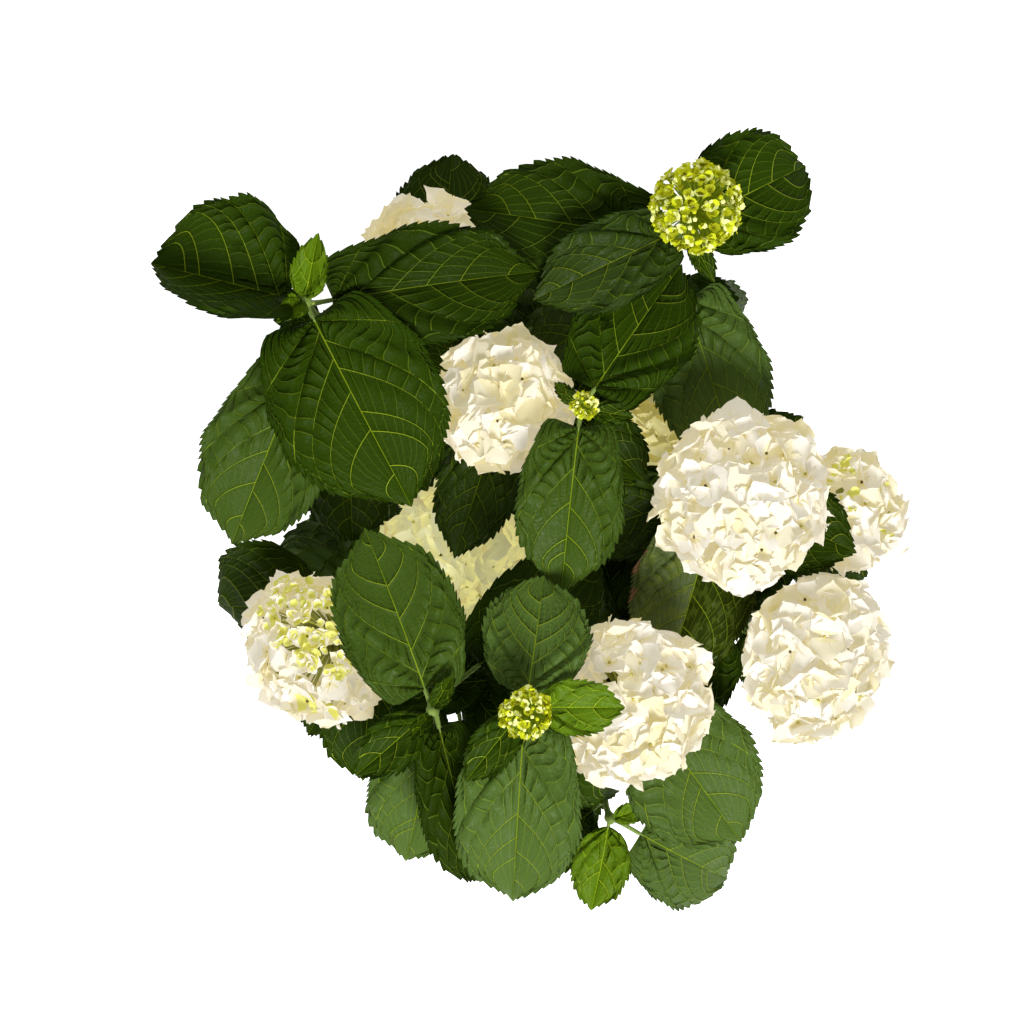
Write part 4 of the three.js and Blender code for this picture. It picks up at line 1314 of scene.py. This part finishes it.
class HYDRANGEA_OT_leaves(bpy.types.Operator):
    """Grow every leaf of the masses: toothed, quilted blades with pale veins"""

    bl_idname = "hydrangea.leaves"
    bl_label = "Leaves"

    def execute(self, context):
        settings = context.scene.hydrangea_leaves
        style = {name: getattr(settings, name) / MM
                 for name in ("tooth", "tooth_depth", "quilt", "wave", "vein", "thickness")}
        colours = {name: tuple(getattr(settings, name)) for name in TINTS[:6]} | AGED
        materials = [leaf_material("leaf_" + name, colours[name], specular=DULL.get(name, LEAF_SHINE))
                     for name in TINTS]
        vein = np.array(settings.vein_colour)
        young = vein * YOUNG_VEIN_LIGHT
        finer = {"deep_vein": vein * DEEP_VEIN_LIGHT, "pale_vein": vein, "young_vein": young}
        for name, (blade, share) in NET_COLOURS.items():
            finer[name] = lerp(np.array(colours[blade]), young if name == "young_net" else vein, share)
        materials += [leaf_material(name, tuple(colour), depth=0.1, pillow=0.0)
                      for name, colour in finer.items()]
        materials.append(leaf_material("leaf_underside", UNDERSIDE, UNDERSIDE_GLOSS, 0.2, 0.0))
        materials.append(leaf_material("underside_vein", UNDERSIDE_VEIN, UNDER_VEIN_GLOSS, 0.1, 0.0))
        heap, owners, number = Heap(), [], 1
        for i, grown in enumerate(GROWN):
            if "leaves_" + grown.shoot.name not in owners:
                owners.append("leaves_" + grown.shoot.name)
            add_leaf(heap, grown, 17.0 * i + 3, style)
            last = i + 1 == len(GROWN)
            if heap.triangles > LEAVES_PIECE or last:
                piece = heap.build(f"leaves_{number}", materials)
                ride_and_stand_for(piece, owners)
                heap, owners, number = Heap(), [], number + 1
        return {"FINISHED"}


# ---------------------------------------------------------------- green stems and stalks
# How far a stem swells where a leaf leaves it, the radius past which it doesn't, and how abruptly.
NODE = {"swell": 0.7, "most": 3.6, "short": 60}
STEM_ROWS, STEM_SIDES = 40, 12
NECK_ROWS, NECK_SIDES = 14, 10
NECK_TIP = 0.9  # a neck's radius at its upper end, over the stem's
STEM_OVERLAP = 0.006  # how far a stem reaches back into its cane, as a share of the shoot
YOUNG_STEM, YOUNG_STEM_LIGHT = (0.24, 0.33, 0.045), (0.32, 0.42, 0.07)
STALK_RADII = np.array([2.6, 2.2, 1.8, 1.6, 1.5, 1.45, 1.45, 1.4, 1.3, 1.0])
AXIL_BUD = {"out": 2.4, "up": 1.5, "length": (3.4, 1), "radii": (0.9, 1.5, 1.1, 0.3)}


class HYDRANGEA_OT_stems(bpy.types.Operator):
    """Grow the leafy stems, the leaf stalks, the flower stalks and the buds in the axils"""

    bl_idname = "hydrangea.stems"
    bl_label = "Stems and stalks"

    def execute(self, context):
        green = tuple(context.scene.hydrangea_wood.green_cane)
        skin = bark_material("green_stem", green, tuple(1.35 * c for c in green), 700, 0.15)
        young = bark_material("young_stem", YOUNG_STEM, YOUNG_STEM_LIGHT, 700, 0.12)
        heap = Heap()
        for shoot in SHOOTS:
            points = shoot_points(shoot)
            top = before_tip(shoot, neck_length(shoot))
            shares = np.linspace(MASS["start"] - STEM_OVERLAP, top, STEM_ROWS)
            path, _ = bezier(points, shares)
            radii = np.linspace(CANE["tip"], STEM_TIP, STEM_ROWS)
            for one in [grown.leaf for grown in GROWN if grown.shoot is shoot]:
                near = np.exp(-(((shares - leaf_share(shoot, one)) * NODE["short"]) ** 2))
                radii += NODE["swell"] * near * (radii < NODE["most"])
            add_tube(heap, path, radii, 0, STEM_SIDES)
            if shoot.head:
                end = before_tip(shoot, 0.25 * shoot.head)
                neck, _ = bezier(points, np.linspace(top, end, NECK_ROWS))
                radii = np.linspace(STEM_TIP, STEM_TIP * NECK_TIP, NECK_ROWS)
                add_tube(heap, neck, radii, int(shoot.head < HEAD["full"]), NECK_SIDES)
        for i, grown in enumerate(GROWN):
            add_stalk(heap, grown.root, grown.leaf, i)
        piece = heap.build("stems", [skin, young])
        ride_and_stand_for(piece, ["leaves_" + shoot.name for shoot in SHOOTS])
        return {"FINISHED"}


def add_stalk(heap, root, one, seed):
    """A leaf stalk from the stem's axis to the blade, a little arched, with a bud in its axil."""
    base = leaf_frame(root, one, [0.0, 0.04])[0]
    step = unit(base[1] - base[0])
    length = np.linalg.norm(base[0] - root)
    bow = (root + base[0]) / 2 - UP * 0.06 * length
    points = [root, bow, base[0] - step * 0.15 * length, base[0] + step * 2.0]
    path, _ = bezier(points, np.linspace(0, 1, len(STALK_RADII)))
    size = min(1.0, 0.45 + one.length / 180)
    add_tube(heap, path - UP * 0.5, STALK_RADII * size, int(one.tint == "fresh"))
    if one.length > SMALL_LEAF:
        out = unit((base[0] - root) * (1, 1, 0))
        start = root + out * AXIL_BUD["out"] + UP * AXIL_BUD["up"]
        bud = start + (out * 0.5 + UP) * strayed(AXIL_BUD["length"], seed)
        add_tube(heap, np.linspace(start, bud, 4), AXIL_BUD["radii"], 1, 6)


# ---------------------------------------------------------------- flower heads
PETAL_ROWS = np.array([0.0, 0.18, 0.38, 0.58, 0.76, 0.90, 1.0])
PETAL_COLUMNS = 5
BUD_ROWS = np.array([0.0, 0.30, 0.60, 0.85, 1.0])  # the coarser petals of the small florets
BUD_COLUMNS = 3
# One petal, over its length or width: how round its outline is, how broad its foot, how deep its edge is
# notched and hollowed and how far it ripples, then how its size, cup, curl, turn and rise differ.
PETAL = {
    "rounding": (0.62, 0.20),
    "claw": 0.05,
    "notched": 0.94,
    "toothed": 1.05,
    "hollow": 0.12,
    "ripple": 0.05,
    "length": (1, 0.12),
    "breadth": (1.05, 0.14),
    "cup": (0.18, 0.30),
    "curl": (0.04, 0.40),
    "turn_stray": 0.12,
    "rise": (0.12, 0.28),
    "crossed_rise": 0.16,
    "closed_rise": 0.9,
}
FLORET = {"tilt": 0.55, "size": (1, 0.16), "bead": 0.065, "bead_height": 0.06}
# The florets' seats on a head's ball: the share of it that they cover, the lowest height that has any,
# and how far they stray from an even spiral.
SEATS = {"share": 0.83, "lowest": -0.86, "turn_stray": 0.25, "stray": 0.09}


def sepal_grid(length, width, seed, cup, curl, rows, columns):
    """Points of one petal that leaves the middle along +X, with its inner face towards +Z."""
    v = rows[:, None]
    s = np.linspace(-1, 1, columns)[None]
    claw = PETAL["claw"]
    half = width / 2 * np.sin(math.pi * v ** 0.85) ** strayed(PETAL["rounding"], seed)
    half = np.maximum(half, claw * width)
    notch = np.where(np.arange(len(rows)) % 2, PETAL["toothed"], PETAL["notched"])[:, None]
    y = half * s * np.where(np.abs(s) == 1, notch, 1)
    x = length * lerp(claw, 1, v) - length * PETAL["hollow"] * s ** 2 * v
    ripple = PETAL["ripple"] * length * np.abs(s) ** 1.5 * np.sin(8 * v + 3 * jitter(seed + 0.4) + s)
    z = cup * half * s ** 2 + curl * length * v ** 2 * 0.6 + ripple
    return np.stack([x, y, z], -1).reshape(-1, 3)


def turned(points, axis_x, axis_y, axis_z):
    return points[:, :1] * axis_x + points[:, 1:2] * axis_y + points[:, 2:3] * axis_z


def across_axes(normal, guide=(0.31, 0.77, 0.55)):
    """Two directions across a normal."""
    side = unit(np.cross(normal, guide))
    return side, np.cross(normal, side)


def floret_seats(shoot, area):
    """Places, outward directions and seeds of a head's florets, over its ball down to its stalk."""
    radius = shoot.head
    count = max(14, round(4 * math.pi * radius ** 2 * SEATS["share"] / area))
    axis = bezier(shoot_points(shoot), [1.0])[1][0]
    side, across = across_axes(axis, EAST + 0.01)
    golden = math.pi * (3 - math.sqrt(5))
    seats = []
    for i in range(count):
        height = 1 - 2 * (i + 0.5) / count
        if height < SEATS["lowest"]:
            continue
        ring = math.sqrt(1 - height * height)
        turn = i * golden + SEATS["turn_stray"] * jitter(i + radius)
        local = np.array([ring * math.cos(turn), ring * math.sin(turn), height])
        local = unit(local + SEATS["stray"] * np.array([jitter(i + more) for more in (0.3, 0.6, 0.9)]))
        place = local * radius * (1, 1, HEAD["squash"])
        normal = unit(local / (1, 1, HEAD["squash"]))
        seats.append((turned(place[None], side, across, axis)[0] + np.array(shoot.tip),
                      turned(normal[None], side, across, axis)[0], i + 100 * radius))
    return seats


def add_floret(heap, place, normal, seed, petal, slots, bead_slot, openness=1.0, small=False):
    """Four petals round a bead, tipped and turned by its seed."""
    rows, columns = (BUD_ROWS, BUD_COLUMNS) if small else (PETAL_ROWS, PETAL_COLUMNS)
    tilt = FLORET["tilt"] * np.array([jitter(seed + more) for more in (0.11, 0.22, 0.33)])
    normal = unit(normal + tilt)
    side, across = across_axes(normal)
    first = math.pi * jitter(seed + 0.44)
    size = petal * strayed(FLORET["size"], seed + 0.55)
    for k in range(4):
        own = seed + 7.7 * (k + 1)
        angle = first + k * math.pi / 2 + PETAL["turn_stray"] * jitter(own)
        rise = strayed(PETAL["rise"], own + 0.1) + PETAL["crossed_rise"] * (k % 2)
        rise += (1 - openness) * PETAL["closed_rise"]
        length = size * strayed(PETAL["length"], own + 0.2)
        width = length * strayed(PETAL["breadth"], own + 0.3)
        cup = strayed(PETAL["cup"], own + 0.4)
        curl = strayed(PETAL["curl"], own + 0.5)
        points = sepal_grid(length, width, own, cup, curl, rows, columns)
        level = side * math.cos(angle) + across * math.sin(angle)
        outward = level * math.cos(rise) + normal * math.sin(rise)
        face = normal * math.cos(rise) - level * math.sin(rise)
        grid = turned(points, outward, np.cross(normal, level), face) + place
        uv = np.stack([points[:, 1] / 4 + k, points[:, 0] / 4 + seed % 7], -1)
        inner, outer, inner_rows = slots[k]
        faces = grid_faces(len(rows), columns)
        is_inner = np.arange(len(faces)) < inner_rows * (columns - 1)
        heap.add(grid, faces, np.where(is_inner, inner, outer), uv)
    bead = place + normal * FLORET["bead_height"] * petal
    add_bead(heap, bead, normal, FLORET["bead"] * petal, bead_slot)


CUPS_APART = 1.2  # how far a half-open floret sits beside its young one, over its petals


def add_small_cups(heap, place, normal, seed, petal):
    """Three half-open florets beside a young one."""
    side, across = across_axes(normal)
    for k in range(3):
        turn = math.pi * (jitter(seed + 0.9) + k / 1.5)
        beside = place + (side * math.cos(turn) + across * math.sin(turn)) * petal * CUPS_APART
        slots = [(GREENISH, (GREENISH, IVORY, WHITE)[k], 2)] * 4
        own = seed + 3.3 * (k + 1)
        add_floret(heap, beside, normal, own, petal, slots, GREENISH, openness=0.45, small=True)


def add_bead(heap, place, normal, radius, slot):
    """A small round bud."""
    side, across = across_axes(normal)
    heights = np.array([-1.0, -0.5, 0.5, 1.0])
    rings = np.sqrt(np.maximum(0, 1 - heights ** 2))
    angles = np.arange(5) * 2 * math.pi / 5
    ring = side * np.cos(angles)[:, None] + across * np.sin(angles)[:, None]
    points = place + radius * (ring[None] * rings[:, None, None] + normal * heights[:, None, None])
    heap.add(points.reshape(-1, 3), grid_faces(4, 5, True), slot)


# Each material of the full heads: its colour, or how far it lies from white to cream, and its painted
# glow, which stands in for light through the petal. The last two are painted shade.
PETAL_FINISHES = {
    "petal_white": (0.0, 0.68),
    "petal_ivory": (0.5, 0.68),
    "petal_cream": (1.0, 0.64),
    "petal_greenish": ("greenish", 0.42),
    "floret_bead": ((0.50, 0.46, 0.10), 0.03),
    "bead_dark": ((0.10, 0.07, 0.02), 0.0),
    "floret_stalk": ((0.36, 0.40, 0.12), 0.03),
    "petal_dim_painted_shade": ((0.70, 0.69, 0.50), 0.40),
    "petal_straw_painted_shade": ((0.70, 0.65, 0.36), 0.20),
}
WHITE, IVORY, CREAM, GREENISH, BEAD, DARK_BEAD, RAY, DIM_PAINTED_SHADE, STRAW_PAINTED_SHADE = range(len(PETAL_FINISHES))
# Where a head still opens: the direction from its middle, and how near to it its florets are young.
YOUNG_SIDE = {"southwest": ((-0.15, 0.35, 0.9), 0.70), "outer_east": ((-0.1, 0.45, 0.85), 0.88)}
OPENING_SHARE = 0.12  # of such a head's other florets, those that are greenish too
CREAMY_SHARE = {"inner_north": 0.25, "north": 0.20}
USUAL_CREAMY_SHARE = 0.10
# Heads that lie deep in shade: their petals get painted shade, as dimmer and yellower copies with less
# glow.
SHADED = {"middle": (DIM_PAINTED_SHADE, CREAM), "low_northeast": (STRAW_PAINTED_SHADE, DIM_PAINTED_SHADE)}


def is_young(shoot, normal):
    direction, near = YOUNG_SIDE.get(shoot.name, ((0, 0, 1), 2))
    return float(np.dot(unit(np.array(direction)), normal)) > near


def petal_slots(shoot, seed, young):
    """The four petals' colours of one floret, by how young it is and whether its head gets painted shade.

    Each petal has a colour for its inner rows, one for its outer rows, and the number of inner rows.
    """
    pick = (jitter(seed + 9.1) + 1) / 2
    if young or (shoot.name in YOUNG_SIDE and pick < OPENING_SHARE):
        return [(GREENISH, (IVORY, WHITE)[k % 2], 2 + round(1.4 * jitter(seed + k))) for k in range(4)]
    if shoot.name in SHADED:
        usual, seldom = SHADED[shoot.name]
        return [(usual, seldom if jitter(seed + k) > 0.6 else usual, 3) for k in range(4)]
    if pick > 1 - CREAMY_SHARE.get(shoot.name, USUAL_CREAMY_SHARE):
        return [(CREAM, CREAM if jitter(seed + k) > 0.1 else IVORY, 2) for k in range(4)]
    return [(CREAM, IVORY if jitter(seed + 2.3 * k) > 0.25 else WHITE, 1) for k in range(4)]


RAY_RADII = (1.1, 0.7, 0.55, 0.45)
RAY_FORK = 0.45  # how far under a head's middle its rays part, over its radius


def add_rays(heap, shoot, ends, slot):
    """Thin stalks that fan from the top of the flower stalk to the florets."""
    fork = bezier(shoot_points(shoot), [before_tip(shoot, RAY_FORK * shoot.head)])[0][0]
    for place, normal in ends:
        foot = place - normal * 0.6
        inner = lerp(fork, foot, 0.5) + normal * 0.06 * shoot.head
        path, _ = bezier([fork, inner, foot - normal * 2, foot], np.linspace(0, 1, 4))
        add_tube(heap, path, RAY_RADII, slot, 3)


def petal_colour(bloom, colour):
    if colour == "greenish":
        return tuple(bloom.greenish)
    if isinstance(colour, float):
        return tuple(lerp(np.array(bloom.white), np.array(bloom.cream), colour))
    return colour


# A young floret: its petals over full ones, how open they are, how deep it sits, and the same for the
# half-open ones beside it.
YOUNG = {"size": 0.66, "openness": 0.55, "depth": 9.5, "cup": 0.46, "cup_depth": 5}
FULL_DEPTH = 12.5  # how far the middle of an open floret lies under the head's round skin
DEPTH_STRAY = 2.5


class HYDRANGEA_OT_white_heads(bpy.types.Operator):
    """Grow the full flower heads, floret by floret"""

    bl_idname = "hydrangea.white_heads"
    bl_label = "White flower heads"

    def execute(self, context):
        bloom = context.scene.hydrangea_blooms
        materials = [petal_material(name, petal_colour(bloom, colour), glow)
                     for name, (colour, glow) in PETAL_FINISHES.items()]
        heads = [shoot for shoot in SHOOTS if shoot.head >= HEAD["full"]]
        for number, group in enumerate((heads[:4], heads[4:]), 1):
            heap = Heap()
            for shoot in group:
                seats, ends = floret_seats(shoot, bloom.floret_area), []
                for place, normal, seed in seats:
                    young = is_young(shoot, normal)
                    depth = YOUNG["depth"] if young else FULL_DEPTH
                    sunk = place - normal * strayed((depth, DEPTH_STRAY), seed + 0.7)
                    ends.append((sunk, normal))
                    size = bloom.petal / MM * (YOUNG["size"] if young else 1.0)
                    slots = petal_slots(shoot, seed, young)
                    bead = DARK_BEAD if jitter(seed + 7.3) > 0.4 else BEAD
                    openness = YOUNG["openness"] if young else 1.0
                    add_floret(heap, sunk, normal, seed, size, slots, bead, openness)
                    if young:
                        beside = place - normal * YOUNG["cup_depth"]
                        add_small_cups(heap, beside, normal, seed, size * YOUNG["cup"])
                add_rays(heap, shoot, ends, RAY)
            piece = heap.build(f"white_heads_{number}", materials)
            ride_and_stand_for(piece, ["head_" + shoot.name for shoot in group])
        return {"FINISHED"}


LIME, LIME_LIGHT, LIME_MID, LIME_DEEP, LIME_BUD, LIME_STALK = range(6)
LIME_DEPTH = (2.4, 1.6)  # how far a green floret lies under its head's round skin
LIME_BEADS_OVER = 0.45  # draws over this make a round bud, the others a small floret
LIGHT_GREEN = (0.85, 0.88, 0.50)
LIME_LIGHTS = {"lime_mid": 0.62, "lime_deep": 0.30, "lime_bud": 0.95}  # how light each is, over lime
LIME_STALK_COLOUR = (0.16, 0.24, 0.02)


def lime_slots(seed, dark):
    """The four petals' colours of one green floret, by its seed."""
    inner = LIME_DEEP if dark else LIME_MID
    return [(inner, int(abs(jitter(seed + 1.9 * k)) * 2.99), 1) for k in range(4)]


class HYDRANGEA_OT_green_heads(bpy.types.Operator):
    """Grow the young green heads of small florets and round buds"""

    bl_idname = "hydrangea.green_heads"
    bl_label = "Green flower heads"

    def execute(self, context):
        bloom = context.scene.hydrangea_blooms
        lime = np.array(bloom.lime)
        colours = {
            "lime_petal": lime,
            "lime_light": lerp(lime, np.array(LIGHT_GREEN), 0.6),
        }
        colours |= {name: lime * light for name, light in LIME_LIGHTS.items()}
        colours["lime_stalk"] = LIME_STALK_COLOUR
        materials = [petal_material(name, tuple(colour)) for name, colour in colours.items()]
        heap = Heap()
        heads = [shoot for shoot in SHOOTS if 0 < shoot.head < HEAD["full"]]
        for shoot in heads:
            share = 0.55 + 0.45 * min(1, shoot.head / 26)
            petal = bloom.bud_petal / MM * share
            seats, ends = floret_seats(shoot, (petal * 1.4) ** 2), []
            for place, normal, seed in seats:
                sunk = place - normal * strayed(LIME_DEPTH, seed + 0.7)
                ends.append((sunk, normal))
                pick = jitter(seed + 4.4)
                if pick > LIME_BEADS_OVER:
                    add_bead(heap, sunk, normal, 0.45 * petal, LIME_BUD if pick < 0.8 else LIME_LIGHT)
                else:
                    slots = lime_slots(seed, pick < -0.4)
                    add_floret(heap, sunk, normal, seed, petal * 1.25, slots, LIME, 0.5, small=True)
            add_rays(heap, shoot, ends, LIME_STALK)
        piece = heap.build("green_heads", materials)
        ride_and_stand_for(piece, ["head_" + shoot.name for shoot in heads])
        return {"FINISHED"}


# ---------------------------------------------------------------- stage
def aim(thing, place, target):
    thing.location = place
    thing.rotation_euler = (Vector(target) - Vector(place)).to_track_quat("-Z", "Y").to_euler()


FLOOR_HALF_WIDTH = 6
FLOOR_GLOW = 0.78
WORLD_LIGHT = 0.30
LIT_PLACE = (0, 0, 0.25)
KEY = {"place": (0.5, -1.7, 2.3), "size": 1.1, "power": 96}
FILL = {"place": (-1.1, 1.2, 2.4), "size": 1.8, "power": 18}


def soft_light(name, place, size, power):
    light = bpy.data.lights.new(name, "AREA")
    light.shape = "DISK"
    light.size = size
    light.energy = power
    aim(new_object(name, light), place, LIT_PLACE)


class HYDRANGEA_OT_stage(bpy.types.Operator):
    """Set the pale floor, the soft lights and the camera"""

    bl_idname = "hydrangea.stage"
    bl_label = "Stage"

    def execute(self, context):
        stage = context.scene.hydrangea_stage
        scene = context.scene
        bm = bmesh.new()
        bmesh.ops.create_grid(bm, x_segments=1, y_segments=1, size=FLOOR_HALF_WIDTH)
        mesh = bpy.data.meshes.new("floor")
        bm.to_mesh(mesh)
        bm.free()
        floor = new_object("floor", mesh)
        material, shader = new_material("floor", tuple(stage.floor_colour), roughness=0.9, specular=0.1)
        shader.inputs["Emission Color"].default_value = (*stage.floor_colour, 1)
        shader.inputs["Emission Strength"].default_value = FLOOR_GLOW
        mesh.materials.append(material)
        camera_data = bpy.data.cameras.new("camera")
        camera_data.lens = stage.lens
        camera_data.sensor_width = 36
        camera = new_object("camera", camera_data)
        camera.location = (0, 0, stage.camera_height)
        scene.camera = camera
        soft_light("key", **KEY)
        soft_light("fill", **FILL)
        world = bpy.data.worlds.new("studio")
        world.use_nodes = True
        background = world.node_tree.nodes["Background"]
        background.inputs["Color"].default_value = (1, 1, 1, 1)
        background.inputs["Strength"].default_value = WORLD_LIGHT
        scene.world = world
        scene.view_settings.view_transform = "Standard"
        return {"FINISHED"}


class HYDRANGEA_PT_panel(bpy.types.Panel):
    """Lists the shrub's pieces and their sizes and colours"""

    bl_idname = "HYDRANGEA_PT_panel"
    bl_label = "Hydrangea shrub"
    bl_space_type = "VIEW_3D"
    bl_region_type = "UI"
    bl_category = "Hydrangea"

    def draw(self, context):
        for operator in OPERATORS:
            self.layout.operator(operator.bl_idname)
        for name, group in SETTINGS.items():
            box = self.layout.box()
            for field in group.__annotations__:
                box.prop(getattr(context.scene, name), field)


OPERATORS = (
    HYDRANGEA_OT_old_wood,
    HYDRANGEA_OT_canes,
    HYDRANGEA_OT_stems,
    HYDRANGEA_OT_leaves,
    HYDRANGEA_OT_white_heads,
    HYDRANGEA_OT_green_heads,
    HYDRANGEA_OT_stage,
)


def register():
    for group in SETTINGS.values():
        bpy.utils.register_class(group)
    for operator in OPERATORS:
        bpy.utils.register_class(operator)
    bpy.utils.register_class(HYDRANGEA_PT_panel)
    for name, group in SETTINGS.items():
        setattr(bpy.types.Scene, name, bpy.props.PointerProperty(type=group))


def unregister():
    for name in SETTINGS:
        delattr(bpy.types.Scene, name)
    bpy.utils.unregister_class(HYDRANGEA_PT_panel)
    for operator in reversed(OPERATORS):
        bpy.utils.unregister_class(operator)
    for group in reversed(list(SETTINGS.values())):
        bpy.utils.unregister_class(group)


GROWN = grown_leaves()


def main():
    register()
    bpy.ops.hydrangea.stage()
    bpy.ops.hydrangea.old_wood()
    bpy.ops.hydrangea.canes()
    bpy.ops.hydrangea.stems()
    bpy.ops.hydrangea.leaves()
    bpy.ops.hydrangea.white_heads()
    bpy.ops.hydrangea.green_heads()


if __name__ == "__main__":
    main()
